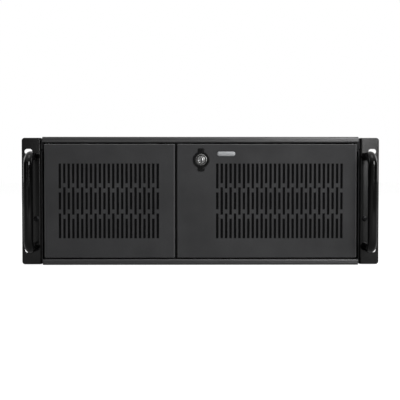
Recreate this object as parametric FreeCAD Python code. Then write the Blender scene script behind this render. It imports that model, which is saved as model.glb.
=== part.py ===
import FreeCAD, Part
import math
import os

# An empty 4U rackmount server case, in millimetres. The front faces -Y, +X is to the right of
# someone who faces it, +Z is up and the case stands on z = 0. Every piece is built in its place.

V = FreeCAD.Vector

# ---- overall sizes
RACK_WIDTH = 482.6          # over both ears
BODY_HEIGHT = 171.0         # to the top of the ears and the cover
BODY_DEPTH = 450.0          # front face of the ears to the back of the rear panel
SHEET = 1.2                 # steel of the chassis, the cover and the doors
BEND = 1.2                  # inner radius of a fold
SLIDE_GAP = 0.3             # between a piece that moves and what it passes
SHAFT_GAP = 0.05            # radial running clearance of a pin or shaft
SCREW_GAP = 0.1             # radial clearance of a screw in its hole

# ---- ears
EAR_WIDTH = 25.5            # out from the side of the chassis
EAR_THICKNESS = 2.0
EAR_BEND = 1.0
EAR_FLANGE = 32.0           # along the side of the chassis
EAR_CORNER = 4.0
RACK_SLOT_INSET = 8.75      # from the outer edge of the ear
RACK_SLOT_SPACING_Z = 133.35
RACK_SLOT_LENGTH = 10.8
RACK_SLOT_WIDTH = 6.8
EAR_SCREW_COUNT = 3         # on each side
EAR_SCREW_INSET = 25.5      # from the ends of the ear
EAR_SCREW_SETBACK = 20.0    # behind the face of the ear
EAR_SCREW_RADIUS = 2.0
EAR_SCREW_HEAD = 4.0
EAR_SCREW_HEIGHT = 2.2
EAR_SCREW_REACH = 6.0
FACE_SCREW_INSET = 19.3     # from the outer edge of the ear to its small front screw
FACE_SCREW_DROP = 24.0      # below the middle of the front

# ---- handles
HANDLE_INSET = 18.3         # from the outer edge of the ear to the middle of the bar
HANDLE_SPAN = 122.0
HANDLE_DROP = 1.0           # below the middle of the front
HANDLE_BAR = 12.0
HANDLE_STANDOUT = 33.0      # face of the ear to the middle of the bar
HANDLE_BEND = 13.0
HANDLE_SCREW_RADIUS = 2.5
HANDLE_SCREW_HEAD = 4.2
HANDLE_SCREW_HEIGHT = 3.0
HANDLE_SCREW_REACH = 14.0

# ---- rails above and below the doors
RAIL_INSET = 4.2            # from the chassis sides
RAIL_RISE = 1.0             # top of the rails above the cover
RAIL_HEIGHT = 7.8
RAIL_STANDOUT = 7.2         # ahead of the ears
RAIL_NOSE = 9.0             # depth of the nose
RAIL_BULGE = 3.0
RAIL_GROOVE = 0.8
RAIL_GROOVE_DEPTH = 0.6
SIDE_SETBACK = 3.5          # chassis behind the face of the ears

# ---- doors
DOOR_GAP = 1.9              # to the rails
DOOR_SIDE_GAP = 4.1         # to the chassis sides
DOOR_SPLIT_GAP = 3.2        # between the doors
DOOR_RECESS = 1.0           # behind the noses of the rails
DOOR_DEPTH = 8.0
DOOR_HINGE_CORNER = 4.0     # outer radius of the hinged edge
DOOR_FREE_CORNER = 2.0      # outer radius of the free edge
DOOR_LIP = 0.8              # rounding of the upper and lower edges
HINGE_INSET = 5.5           # from the edge and from the face of the door
HINGE_PIN_RADIUS = 1.5
HINGE_PIN_REACH = 4.0       # into the rail
HINGE_COLLAR = 2.8
HINGE_HEAD_HEIGHT = 2.0

# ---- staggered vent slots
VENT_PITCH = 5.96
VENT_WIDTH = 3.3
VENT_HEIGHT = 100.5
VENT_BRIDGE = 5.3
ODD_END_SLOT = 33.5
EVEN_END_SLOT = 26.5
VENT_SIDE_MARGIN = 16.0     # least distance from the hinged edge of the right door
VENT_SHIFT = 0.6            # slots of the left door, from its middle to its hinges

# ---- dust filters behind the doors
FILTER_MARGIN = 4.0         # beyond the slots
FILTER_THICKNESS = 5.0
FILTER_SHEET = 0.8
FILTER_FLANGE = 4.0
FILTER_LIP = 4.0

# ---- door lock
LOCK_INSET = 32.3           # from the free edge of the right door
LOCK_DROP = 21.0            # below the top of the door
LOCK_CLEARANCE = 1.0        # from its nut to the filter frame
LOCK_BODY_RADIUS = 8.0
LOCK_BODY_LENGTH = 18.0     # behind the door's face
LOCK_STANDOUT = 3.0
LOCK_EDGE = 0.8
LOCK_ROTOR_RADIUS = 5.6
LOCK_ROTOR_RECESS = 0.4
ESCUTCHEON_RADIUS = 11.0
ESCUTCHEON_HEIGHT = 31.0
ESCUTCHEON_LUG = 9.0
ESCUTCHEON_CORNER = 2.0
ESCUTCHEON_THICKNESS = 1.6
KEYWAY_WIDTH = 1.6
KEYWAY_HEIGHT = 6.5
KEYWAY_DEPTH = 9.0
LOCK_NUT_HEIGHT = 3.0
LOCK_NUT_FLATS = 20.0
CAM_LENGTH = 30.0
CAM_WIDTH = 10.0
CAM_CORNER = 2.5
CAM_THICKNESS = 1.6
CAM_SCREW_RADIUS = 1.5
CAM_SCREW_HEAD = 3.4
CAM_SCREW_HEIGHT = 2.0
CAM_SCREW_REACH = 7.0

# ---- bare badge
BADGE_OFFSET = 33.3         # beside the lock
BADGE_DROP = 13.1           # below the top of the door
BADGE_LENGTH = 24.5
BADGE_HEIGHT = 6.3
BADGE_THICKNESS = 0.8

# ---- panels inside the chassis
FRONT_PANEL_SETBACK = 22.0  # behind the face of the ears
PANEL_FLANGE = 9.5
PANEL_RELIEF = 4.0          # corners of the panels, where their flanges meet

# ---- centre post
POST_WIDTH = 34.0
POST_FOOT = 9.0
POST_GAP = 1.2              # behind the doors
POST_CLEARANCE = 12.0       # from its foot to the control strip
CAM_SLOT_GAP = 1.5          # round the cam, in the side of the post
MAGNET_WIDTH = 6.0
MAGNET_HEIGHT = 14.0
MAGNET_INSET = 3.0          # from the inside of the door's free edge
MAGNET_SPACING = 110.0

# ---- top cover
COVER_LAP = 15.0
COVER_INSET = 0.3           # behind the flat of the chassis sides
COVER_REAR_LAP = 14.0
COVER_REAR_GAP = 0.8        # rear panel to the lap behind it
COVER_REAR_INSET = 9.0
CHASSIS_TOP_FLANGE = 12.0
JOGGLE_RISE = 2.5
THUMBSCREW_COUNT = 3
THUMBSCREW_INSET = 17.7     # from the ends of the rear lap
THUMBSCREW_HEAD = 5.0
THUMBSCREW_LENGTH = 8.0
THUMBSCREW_NECK = 1.0
THUMBSCREW_SHANK = 1.75
THUMBSCREW_REACH = 5.0
THUMBSCREW_DROP = 8.5       # below the top of the cover

# ---- fans
FRONT_FAN = {"side": 120.0, "depth": 25.0, "spacing": 105.0, "bore": 57.5, "hub": 20.5, "blades": 7}
REAR_FAN = {"side": 80.0, "depth": 25.0, "spacing": 71.5, "bore": 38.2, "hub": 15.5, "blades": 7}
FRONT_FAN_MARGIN = 34.6     # from the left side
REAR_FAN_MARGIN = 5.0       # from the opening for the power supply
REAR_FAN_SPACE = 4.0        # between the rear fans
REAR_FAN_DROP = 57.5        # from the top of the rear panel to the middle of its fans
FAN_FLANGE = 4.0
FAN_CORNER = 5.0
FAN_HOLE_RADIUS = 2.15
FAN_TIP_GAP = 1.0
FAN_STRUT = 5.0
FAN_STRUT_DEPTH = 3.0
FAN_SHAFT_RADIUS = 1.5
FAN_SHAFT_REACH = 2.5
FAN_RECESS = 3.0            # rotor behind the front of its frame
FAN_BACK_GAP = 0.6          # rotor to the motor plate
BLADE_THICKNESS = 1.4
BLADE_ROOT_PITCH = 48.0
BLADE_TIP_PITCH = 28.0
BLADE_ROOT_CHORD = 14.0
GUARD_THICKNESS = 1.0
GUARD_RING = 2.0
GUARD_RINGS = 3
GUARD_PAD = 4.5
GUARD_SCREW_RADIUS = 1.9
GUARD_SCREW_HEAD = 3.6
GUARD_SCREW_HEIGHT = 2.0
GUARD_SCREW_REACH = 5.5

# ---- cage for the 5.25 inch drives
BAY_WIDTH = 148.4
BAY_HEIGHT = 42.3
BAY_COUNT = 3
BAY_FLOOR_Z = 14.0
CAGE_MARGIN = 7.4           # from the right side to its foot
CAGE_SHEET = 1.0
CAGE_LENGTH = 165.0
CAGE_FOOT = 10.0
CAGE_SLOT_LENGTH = 26.0
CAGE_SLOT_HEIGHT = 5.0
CAGE_SLOT_SETBACK = (45.0, 120.0)
CAGE_SLOT_RISE = 10.0
BAY_COVER_GAP = 0.4
BAY_COVER_DEPTH = 9.0
BAY_COVER_WALL = 2.0
BAY_COVER_STANDOUT = 2.0
BAY_COVER_BEVEL = 0.8

# ---- cage for the 3.5 inch drives
DISK_CAGE_MARGIN = 11.6     # between the feet of the two cages
DISK_BAY_WIDTH = 102.4
DISK_BAY_COUNT = 4
DISK_BAY_HEIGHT = 26.5
DISK_CAGE_LENGTH = 138.0
DISK_CAGE_SETBACK = 55.0    # behind the face of the ears
DISK_SHELF_Z = 6.0
DISK_SHELF = 9.0

# ---- control strip
CONTROL_MARGIN = 17.8       # from the window for the drives
CONTROL_DROP = 20.0         # below the middle of the front
CONTROL_WIDTH = 26.0
CONTROL_HEIGHT = 84.0
CONTROL_THICKNESS = 3.0
CONTROL_CORNER = 3.0
CONTROL_REBATE = 2.0        # strip beyond its window in the panel
CONTROL_POST_RADIUS = 2.2
CONTROL_POST_INSET = 4.5
POWER_BUTTON_RADIUS = 6.0
POWER_BUTTON_RISE = 25.0    # above the middle of the strip
RESET_BUTTON_RADIUS = 2.5
RESET_BUTTON_RISE = 10.0
BUTTON_STANDOUT = 2.5
BUTTON_COLLAR = 1.4
BUTTON_COLLAR_THICKNESS = 1.2
BUTTON_STEM_RADIUS = 1.6
BUTTON_TRAVEL = 1.5
BUTTON_GAP = 0.25
BUTTON_EDGE = 0.5
LIGHT_RADIUS = 1.5
LIGHT_STANDOUT = 0.5
LIGHT_RISE = (2.0, -4.0)
USB_RISE = (-15.0, -27.0)
USB_WIDTH = 13.2
USB_HEIGHT = 5.8
USB_SHELL = 0.5
USB_TONGUE = 2.0
USB_TONGUE_INSET = 1.0
BOARD_THICKNESS = 1.6
BOARD_SETBACK = 9.0         # control board behind the front panel's face
SWITCH_SIZE = 6.0
SWITCH_HEIGHT = 3.5
SWITCH_GAP = 0.2            # left between button and switch at the end of travel

# ---- rear panel
PSU_MARGIN = 7.6            # from the right side
PSU_WIDTH = 84.0
PSU_BOTTOM = 11.0
PSU_HEADROOM = 11.5         # from its opening to the top of the panel
IO_MARGIN = 15.0            # from the opening for the power supply
IO_WIDTH = 158.75
IO_HEIGHT = 44.45
IO_BOTTOM = 9.5
SLOT_PITCH = 20.32
SLOT_START = 15.2           # from the connectors' opening to the middle of the first slot
SLOT_SIDE_MARGIN = 16.0     # least distance from the left side to the middle of the last slot
SLOT_WIDTH = 14.0
SLOT_HEIGHT = 100.0
SLOT_BOTTOM = 14.0
SLOT_COVER_WIDTH = 18.4
SLOT_COVER_SHEET = 0.9
SLOT_COVER_TAB = 11.0
SLOT_COVER_OVERLAP = 5.0    # beyond the opening, below and above
SLOT_RAIL_MARGIN = 4.0
SLOT_RAIL_DEPTH = 14.0
SLOT_RAIL_DROP = 12.0
SLOT_SCREW_SETBACK = 6.5
SLOT_SCREW_RADIUS = 1.6
SLOT_SCREW_FLATS = 6.0
SLOT_SCREW_HEIGHT = 2.2
SLOT_SCREW_REACH = 5.0

# ---- main board supports and the bar over the cards
STANDOFF_HEIGHT = 6.5
STANDOFF_FLATS = 5.5
BOARD_HOLE_SHIFT = (66.9, 4.0, 1.52)        # from the connectors, the first slot and the last
BOARD_HOLE_BACK = (13.0, 168.0, 240.4)      # ahead of the rear panel
CARD_BAR_SETBACK = 270.0
CARD_BAR_WIDTH = 30.0
CARD_BAR_DROP = 14.0

# ---- what follows from them
HANDLE_REACH = HANDLE_STANDOUT + HANDLE_BAR / 2
OVERALL_DEPTH = HANDLE_REACH + BODY_DEPTH + COVER_REAR_GAP + SHEET + THUMBSCREW_LENGTH
EAR_FACE = HANDLE_REACH - OVERALL_DEPTH / 2
EAR_BACK = EAR_FACE + EAR_THICKNESS
REAR_FACE = EAR_FACE + BODY_DEPTH
REAR_INNER = REAR_FACE - SHEET
FRAME_HEIGHT = BODY_HEIGHT + RAIL_RISE
MID_Z = FRAME_HEIGHT / 2
EAR_EDGE = RACK_WIDTH / 2
SIDE = EAR_EDGE - EAR_WIDTH
INNER_SIDE = SIDE - SHEET
HANDLE_X = EAR_EDGE - HANDLE_INSET
FACE_SCREW_X = EAR_EDGE - FACE_SCREW_INSET
FACE_SCREW_Z = MID_Z - FACE_SCREW_DROP
RACK_SLOT_X = EAR_EDGE - RACK_SLOT_INSET
EAR_SCREW_SPACING = (BODY_HEIGHT - 2 * EAR_SCREW_INSET) / (EAR_SCREW_COUNT - 1)

RAIL_FACE = EAR_FACE - RAIL_STANDOUT
RAIL_BACK = RAIL_FACE + RAIL_NOSE
DOOR_FACE = RAIL_FACE + DOOR_RECESS
DOOR_INSIDE = DOOR_FACE + SHEET
DOOR_BACK = DOOR_FACE + DOOR_DEPTH
PANEL_FACE = EAR_FACE + FRONT_PANEL_SETBACK
PANEL_BACK = PANEL_FACE + SHEET
STRIP_FACE = PANEL_FACE - CONTROL_THICKNESS
BOARD_FACE = PANEL_FACE + BOARD_SETBACK

COVER_UNDER = BODY_HEIGHT - SHEET
COVER_SIDE = SIDE - COVER_INSET
CHASSIS_TOP = COVER_UNDER - SLIDE_GAP
JOGGLE_SIDE = COVER_SIDE - SHEET - SLIDE_GAP
JOGGLE_Z = BODY_HEIGHT - COVER_LAP - SLIDE_GAP
TONGUE_END = JOGGLE_SIDE - CHASSIS_TOP_FLANGE - SLIDE_GAP
LAP_BACK = REAR_FACE + COVER_REAR_GAP + SHEET
LAP_END = COVER_SIDE - COVER_REAR_INSET
THUMBSCREW_SPACING = 2 * (LAP_END - THUMBSCREW_INSET) / (THUMBSCREW_COUNT - 1)
THUMBSCREW_Z = BODY_HEIGHT - THUMBSCREW_DROP

CAGE_X = INNER_SIDE - CAGE_MARGIN - CAGE_FOOT - BAY_WIDTH / 2
DISK_CAGE_X = CAGE_X - BAY_WIDTH / 2 - 2 * CAGE_FOOT - DISK_CAGE_MARGIN - DISK_BAY_WIDTH / 2
CONTROL_X = CAGE_X - BAY_WIDTH / 2 - CONTROL_MARGIN - CONTROL_WIDTH / 2
CONTROL_Z = MID_Z - CONTROL_DROP
WINDOW_WIDTH = CONTROL_WIDTH - 2 * CONTROL_REBATE
WINDOW_HEIGHT = CONTROL_HEIGHT - 2 * CONTROL_REBATE
FRONT_FAN_X = FRONT_FAN_MARGIN + FRONT_FAN["side"] / 2 - INNER_SIDE
FRONT_FAN_Z = MID_Z

DOOR_BOTTOM = RAIL_HEIGHT + DOOR_GAP
DOOR_TOP = FRAME_HEIGHT - RAIL_HEIGHT - DOOR_GAP
DOOR_OUTER = INNER_SIDE - DOOR_SIDE_GAP
DOOR_SPLIT_X = CONTROL_X - CONTROL_WIDTH / 2 - POST_CLEARANCE - POST_FOOT - POST_WIDTH / 2
LEFT_DOOR_END = DOOR_SPLIT_X - DOOR_SPLIT_GAP / 2
RIGHT_DOOR_END = DOOR_SPLIT_X + DOOR_SPLIT_GAP / 2
HINGE_X = DOOR_OUTER - HINGE_INSET
HINGE_Y = DOOR_FACE + HINGE_INSET
LOCK_X = RIGHT_DOOR_END + LOCK_INSET
LOCK_Z = DOOR_TOP - LOCK_DROP
LOCK_FRONT = DOOR_FACE - LOCK_STANDOUT
LOCK_BACK = DOOR_FACE + LOCK_BODY_LENGTH
CAM_FACE = LOCK_BACK + SLIDE_GAP
CAM_BACK = CAM_FACE + CAM_THICKNESS
BADGE_X = LOCK_X + BADGE_OFFSET
BADGE_Z = DOOR_TOP - BADGE_DROP

# the slots of each door fill what its filter frame leaves free
FRAME_REACH = VENT_WIDTH / 2 + FILTER_MARGIN + FILTER_SHEET + FILTER_FLANGE
LEFT_FREE = LEFT_DOOR_END + DOOR_OUTER - 2 * (SHEET + MAGNET_INSET + MAGNET_WIDTH + SLIDE_GAP + FRAME_REACH)
LEFT_VENT_COLUMNS = int(LEFT_FREE / VENT_PITCH) + 1
LEFT_VENT_X = (LEFT_DOOR_END - DOOR_OUTER) / 2 - VENT_SHIFT
RIGHT_VENT_START = LOCK_X + LOCK_NUT_FLATS / 2 + LOCK_CLEARANCE + FRAME_REACH
RIGHT_FREE = DOOR_OUTER - VENT_SIDE_MARGIN - VENT_WIDTH / 2 - RIGHT_VENT_START
RIGHT_VENT_COLUMNS = int(RIGHT_FREE / VENT_PITCH) + 1
RIGHT_VENT_X = RIGHT_VENT_START + (RIGHT_VENT_COLUMNS - 1) * VENT_PITCH / 2

PSU_LEFT = INNER_SIDE - PSU_MARGIN - PSU_WIDTH
PSU_X = PSU_LEFT + PSU_WIDTH / 2
PSU_HEIGHT = CHASSIS_TOP - PSU_HEADROOM - PSU_BOTTOM
IO_X = PSU_LEFT - IO_MARGIN - IO_WIDTH / 2
REAR_FAN_Z = CHASSIS_TOP - REAR_FAN_DROP
RIGHT_FAN_X = PSU_LEFT - REAR_FAN_MARGIN - REAR_FAN["side"] / 2
LEFT_FAN_X = RIGHT_FAN_X - REAR_FAN["side"] - REAR_FAN_SPACE
FIRST_SLOT_X = IO_X - IO_WIDTH / 2 - SLOT_START
SLOT_COUNT = int((FIRST_SLOT_X + INNER_SIDE - SLOT_SIDE_MARGIN) / SLOT_PITCH) + 1
LAST_SLOT_X = FIRST_SLOT_X - (SLOT_COUNT - 1) * SLOT_PITCH
SLOT_MIDDLE_X = (FIRST_SLOT_X + LAST_SLOT_X) / 2
SLOT_TOP = SLOT_BOTTOM + SLOT_HEIGHT + SLOT_COVER_OVERLAP
BOARD_HOLE_X = [at + shift for at, shift in zip((IO_X, FIRST_SLOT_X, LAST_SLOT_X), BOARD_HOLE_SHIFT)]

PAST = 1.0                  # how far a cutting tool runs past what it cuts
TINY = 1e-6
ROUND_END = 0.499           # radius of a round end, as a share of its width


# ---- small tools

def place(axis, at, a, b):
    """The point (a, b) of a plane across an axis: (y, z) across x, (x, z) across y, (x, y) across z."""
    if axis == "x":
        return V(at, a, b)
    if axis == "y":
        return V(a, at, b)
    return V(a, b, at)


def along(axis, length):
    """A step of this length along an axis."""
    return V(*[length if name == axis else 0 for name in "xyz"])


def flat(points):
    return [V(a, b, 0) for a, b in points]


def corner_arc(before, corner, after, radius):
    """Start, middle and end of the arc that rounds a corner."""
    back = (before - corner).normalize()
    ahead = (after - corner).normalize()
    half = back.getAngle(ahead) / 2
    centre = corner + (back + ahead).normalize() * (radius / math.sin(half))
    reach = radius / math.tan(half)
    middle = centre + (corner - centre).normalize() * radius
    return corner + back * reach, middle, corner + ahead * reach


def outline(axis, at, points, radii):
    """A closed wire through the points, with each corner rounded by its radius."""
    points = flat(points)
    edges = []
    corners = []
    for i, corner in enumerate(points):
        if radii[i] > 0:
            arc = corner_arc(points[i - 1], corner, points[(i + 1) % len(points)], radii[i])
            corners.append([place(axis, at, p.x, p.y) for p in arc])
        else:
            corners.append([place(axis, at, corner.x, corner.y)])
    for i, corner in enumerate(corners):
        if len(corner) == 3:
            edges.append(Part.Arc(*corner).toShape())
        start = corner[-1]
        end = corners[(i + 1) % len(corners)][0]
        if start.distanceToPoint(end) > TINY:
            edges.append(Part.makeLine(start, end))
    return Part.Wire(edges)


def prism(axis, at, length, points, radius=0.0):
    """A closed outline with rounded corners, drawn out along an axis."""
    radii = radius if isinstance(radius, list) else [radius] * len(points)
    return Part.Face(outline(axis, at, points, radii)).extrude(along(axis, length))


def beside(points, distance):
    """An open path moved to its left by a distance, with mitred corners."""
    points = flat(points)
    moved = []
    for i, point in enumerate(points):
        normals = []
        for a, b in ((i - 1, i), (i, i + 1)):
            if a >= 0 and b < len(points):
                way = (points[b] - points[a]).normalize()
                normals.append(V(-way.y, way.x, 0))
        mitre = sum(normals[1:], normals[0])
        point = point + mitre * (distance * len(normals) / mitre.dot(mitre))
        moved.append((point.x, point.y))
    return moved


def fold(axis, at, length, path, thickness=SHEET, bend=BEND):
    """A sheet folded along an open path, built up on the path's left and drawn out along an axis."""
    points = flat(path)
    near = [0.0] * len(path)
    far = [0.0] * len(path)
    for i in range(1, len(path) - 1):
        turns_left = (points[i] - points[i - 1]).cross(points[i + 1] - points[i]).z > 0
        near[i] = bend + thickness if turns_left else bend
        far[i] = bend if turns_left else bend + thickness
    return prism(axis, at, length, path + beside(path, thickness)[::-1], near + far[::-1])


def block(x0, x1, y0, y1, z0, z1):
    return Part.makeBox(x1 - x0, y1 - y0, z1 - z0, V(x0, y0, z0))


def rod(axis, radius, start, end, a, b):
    """A cylinder along an axis between two places on it."""
    return Part.makeCylinder(radius, end - start, place(axis, start, a, b), along(axis, 1))


def slot(axis, start, length, a, b, width, height):
    """A bar with round ends that lies across an axis, width long and height wide."""
    reach = (width - height) / 2
    ends = [rod(axis, height / 2, start, start + length, a + step, b) for step in (-reach, reach)]
    return join(prism(axis, start, length, rectangle(a, b, 2 * reach, height)), *ends)


def rectangle(a, b, width, height):
    """Corners of a rectangle about a middle."""
    return [(a - width / 2, b - height / 2), (a + width / 2, b - height / 2),
            (a + width / 2, b + height / 2), (a - width / 2, b + height / 2)]


def hexagon(a, b, flats):
    """Corners of a hexagon with two sides across the first direction."""
    reach = flats / math.sqrt(3)
    angles = [math.radians(60 * i + 30) for i in range(6)]
    return [(a + reach * math.cos(angle), b + reach * math.sin(angle)) for angle in angles]


def join(first, *rest):
    return first.fuse(list(rest)).removeSplitter()


def mirrored(shape):
    """The same piece on the other side of the case."""
    return shape.mirror(V(0, 0, 0), V(1, 0, 0))


def row(count, pitch, middle=0.0):
    """Evenly spaced places about a middle."""
    return [middle + pitch * (i - (count - 1) / 2) for i in range(count)]


def screw(axis, face, way, a, b, shank, reach, head, height):
    """A round-headed screw under whose head lies a face; way is the side of the face that the head is on."""
    top = rod(axis, head, min(face, face + way * height), max(face, face + way * height), a, b)
    stem = rod(axis, shank, min(face, face - way * reach), max(face, face - way * reach), a, b)
    return join(top, stem)


# ---- chassis

def ear_screw_places():
    return row(EAR_SCREW_COUNT, EAR_SCREW_SPACING, BODY_HEIGHT / 2)


def chassis_base():
    """Floor, joggled sides and top flanges, folded from one sheet."""
    half = [(SIDE, 0), (SIDE, JOGGLE_Z - JOGGLE_RISE), (JOGGLE_SIDE, JOGGLE_Z), (JOGGLE_SIDE, CHASSIS_TOP),
            (JOGGLE_SIDE - CHASSIS_TOP_FLANGE, CHASSIS_TOP)]
    path = [(-x, z) for x, z in half[::-1]] + half
    front = EAR_FACE + SIDE_SETBACK
    shell = fold("y", front, REAR_FACE - front, path)
    tools = []
    for z in ear_screw_places():
        hole = rod("x", EAR_SCREW_RADIUS + SCREW_GAP, INNER_SIDE - PAST, SIDE + PAST,
                   EAR_FACE + EAR_SCREW_SETBACK, z)
        tools += [hole, mirrored(hole)]
    return shell.cut(tools)


def bulkhead(face, way):
    """A flanged panel across the chassis; its flanges point the way that its back faces."""
    depth = face + way * PANEL_FLANGE
    across = [(-INNER_SIDE, depth), (-INNER_SIDE, face), (INNER_SIDE, face), (INNER_SIDE, depth)]
    upright = [(depth, CHASSIS_TOP), (face, CHASSIS_TOP), (face, SHEET), (depth, SHEET)]
    side_low = SHEET + PANEL_FLANGE
    side_high = JOGGLE_Z - JOGGLE_RISE - PANEL_RELIEF
    corner = BEND + SHEET
    plate = block(-INNER_SIDE + corner, INNER_SIDE - corner, min(face, face + way * SHEET),
                  max(face, face + way * SHEET), SHEET + corner, CHASSIS_TOP - corner)
    wings = fold("z", side_low, side_high - side_low, across[::way])
    flanges = fold("x", -TONGUE_END, 2 * TONGUE_END, upright[::way])
    return join(plate, wings, flanges)


def front_panel():
    """The wall behind the doors, with its windows for the drives, the controls and the front fan."""
    y0 = PANEL_FACE - PAST
    through = SHEET + 2 * PAST
    bays = BAY_COUNT * BAY_HEIGHT
    tools = [prism("y", y0, through, rectangle(CAGE_X, BAY_FLOOR_Z + bays / 2, BAY_WIDTH, bays)),
             prism("y", y0, through, rectangle(CONTROL_X, CONTROL_Z, WINDOW_WIDTH, WINDOW_HEIGHT)),
             rod("y", FRONT_FAN["bore"], y0, y0 + through, FRONT_FAN_X, FRONT_FAN_Z)]
    tools += fan_screw_holes(FRONT_FAN, FRONT_FAN_X, FRONT_FAN_Z, y0, y0 + through)
    return bulkhead(PANEL_FACE, 1).cut(tools)


def rear_panel():
    """The back wall, with cut-outs for the power supply, the connectors, the cards and two fans."""
    y0 = REAR_INNER - PAST
    through = SHEET + 2 * PAST
    tools = [prism("y", y0, through, rectangle(PSU_X, PSU_BOTTOM + PSU_HEIGHT / 2, PSU_WIDTH, PSU_HEIGHT)),
             prism("y", y0, through, rectangle(IO_X, IO_BOTTOM + IO_HEIGHT / 2, IO_WIDTH, IO_HEIGHT))]
    for x in slot_places():
        tools.append(prism("y", y0, through,
                           rectangle(x, SLOT_BOTTOM + SLOT_HEIGHT / 2, SLOT_WIDTH, SLOT_HEIGHT)))
    for x in (LEFT_FAN_X, RIGHT_FAN_X):
        tools.append(rod("y", REAR_FAN["bore"], y0, y0 + through, x, REAR_FAN_Z))
        tools += fan_screw_holes(REAR_FAN, x, REAR_FAN_Z, y0, y0 + through)
    for x in row(THUMBSCREW_COUNT, THUMBSCREW_SPACING):
        tools.append(rod("y", THUMBSCREW_SHANK + SCREW_GAP, y0, y0 + through, x, THUMBSCREW_Z))
    return bulkhead(REAR_FACE, -1).cut(tools)


def centre_post():
    """A folded hat between the rails; the lock's cam turns into the slot in its side."""
    front = DOOR_BACK + POST_GAP + SHEET
    left = DOOR_SPLIT_X - POST_WIDTH / 2
    right = DOOR_SPLIT_X + POST_WIDTH / 2
    path = [(right + POST_FOOT, PANEL_FACE), (right, PANEL_FACE), (right, front), (left, front),
            (left, PANEL_FACE), (left - POST_FOOT, PANEL_FACE)]
    post = fold("z", RAIL_HEIGHT, FRAME_HEIGHT - 2 * RAIL_HEIGHT, path)
    slot = block(right - PAST, right + SHEET + PAST, CAM_FACE - CAM_SLOT_GAP, CAM_BACK + CAM_SLOT_GAP,
                 LOCK_Z - CAM_LENGTH, LOCK_Z + CAM_WIDTH / 2 + CAM_SLOT_GAP)
    return post.cut([slot])


def door_magnets():
    """Two block magnets on the post, which hold the left door by its inside."""
    right = LEFT_DOOR_END - SHEET - MAGNET_INSET
    return Part.makeCompound([
        block(right - MAGNET_WIDTH, right, DOOR_INSIDE + SLIDE_GAP, DOOR_BACK + POST_GAP,
              z - MAGNET_HEIGHT / 2, z + MAGNET_HEIGHT / 2)
        for z in row(2, MAGNET_SPACING, MID_Z)])


def rail(bottom, tongue_bottom, tongue_top, bore_start):
    """A solid rail: a grooved bull nose, and a tongue behind it that reaches the front panel."""
    top = bottom + RAIL_HEIGHT
    middle = bottom + RAIL_HEIGHT / 2
    shoulder = RAIL_FACE + RAIL_BULGE
    half = SIDE - RAIL_INSET
    low = V(-half, shoulder, bottom)
    high = V(-half, shoulder, top)
    low_back = V(-half, RAIL_BACK, bottom)
    high_back = V(-half, RAIL_BACK, top)
    edges = [Part.Arc(low, V(-half, RAIL_FACE, middle), high).toShape(), Part.makeLine(high, high_back),
             Part.makeLine(high_back, low_back), Part.makeLine(low_back, low)]
    nose = Part.Face(Part.Wire(edges)).extrude(V(2 * half, 0, 0))
    tongue = block(-TONGUE_END, TONGUE_END, RAIL_BACK - PAST, PANEL_FACE, tongue_bottom, tongue_top)
    groove = block(-half - PAST, half + PAST, RAIL_FACE - PAST, RAIL_FACE + RAIL_GROOVE_DEPTH,
                   middle - RAIL_GROOVE / 2, middle + RAIL_GROOVE / 2)
    bore = rod("z", HINGE_PIN_RADIUS + SHAFT_GAP, bore_start, bore_start + HINGE_PIN_REACH + 2 * PAST,
               HINGE_X, HINGE_Y)
    return join(nose, tongue).cut([groove, bore, mirrored(bore)])


def top_rail():
    bottom = FRAME_HEIGHT - RAIL_HEIGHT
    return rail(bottom, bottom, CHASSIS_TOP, bottom - PAST)


def bottom_rail():
    return rail(0, SHEET, RAIL_HEIGHT, RAIL_HEIGHT - HINGE_PIN_REACH - PAST)


# ---- ears and handles

def handle_places():
    return row(2, HANDLE_SPAN, MID_Z - HANDLE_DROP)


def right_ear():
    """An L-shaped bracket with slots for the rack's screws."""
    path = [(SIDE, EAR_FACE + EAR_FLANGE), (SIDE, EAR_FACE), (EAR_EDGE, EAR_FACE)]
    bracket = fold("z", 0, BODY_HEIGHT, path, EAR_THICKNESS, EAR_BEND)
    shape = prism("y", EAR_FACE - PAST, EAR_FLANGE + 2 * PAST,
                  [(SIDE - PAST, 0), (EAR_EDGE, 0), (EAR_EDGE, BODY_HEIGHT), (SIDE - PAST, BODY_HEIGHT)],
                  [0.0, EAR_CORNER, EAR_CORNER, 0.0])
    tools = []
    for z in row(2, RACK_SLOT_SPACING_Z, MID_Z):
        tools.append(slot("y", EAR_FACE - PAST, EAR_THICKNESS + 2 * PAST, RACK_SLOT_X, z,
                          RACK_SLOT_LENGTH, RACK_SLOT_WIDTH))
    for z in handle_places():
        tools.append(rod("y", HANDLE_SCREW_RADIUS + SCREW_GAP, EAR_FACE - PAST, EAR_BACK + PAST, HANDLE_X, z))
    tools.append(rod("y", EAR_SCREW_RADIUS + SCREW_GAP, EAR_FACE - PAST, EAR_BACK + PAST,
                     FACE_SCREW_X, FACE_SCREW_Z))
    for z in ear_screw_places():
        tools.append(rod("x", EAR_SCREW_RADIUS + SCREW_GAP, SIDE - PAST, SIDE + EAR_THICKNESS + PAST,
                         EAR_FACE + EAR_SCREW_SETBACK, z))
    return bracket.common(shape).cut(tools)


def ear_screws():
    """Three screws through each ear into the side of the chassis."""
    screws = [screw("x", SIDE + EAR_THICKNESS, 1, EAR_FACE + EAR_SCREW_SETBACK, z, EAR_SCREW_RADIUS,
                    EAR_SCREW_REACH, EAR_SCREW_HEAD, EAR_SCREW_HEIGHT) for z in ear_screw_places()]
    return Part.makeCompound(screws + [mirrored(one) for one in screws])


def face_screws():
    """The small screw low on the front of each ear."""
    one = screw("y", EAR_FACE, -1, FACE_SCREW_X, FACE_SCREW_Z, EAR_SCREW_RADIUS,
                EAR_SCREW_REACH, EAR_SCREW_HEAD, EAR_SCREW_HEIGHT)
    return Part.makeCompound([one, mirrored(one)])


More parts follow.
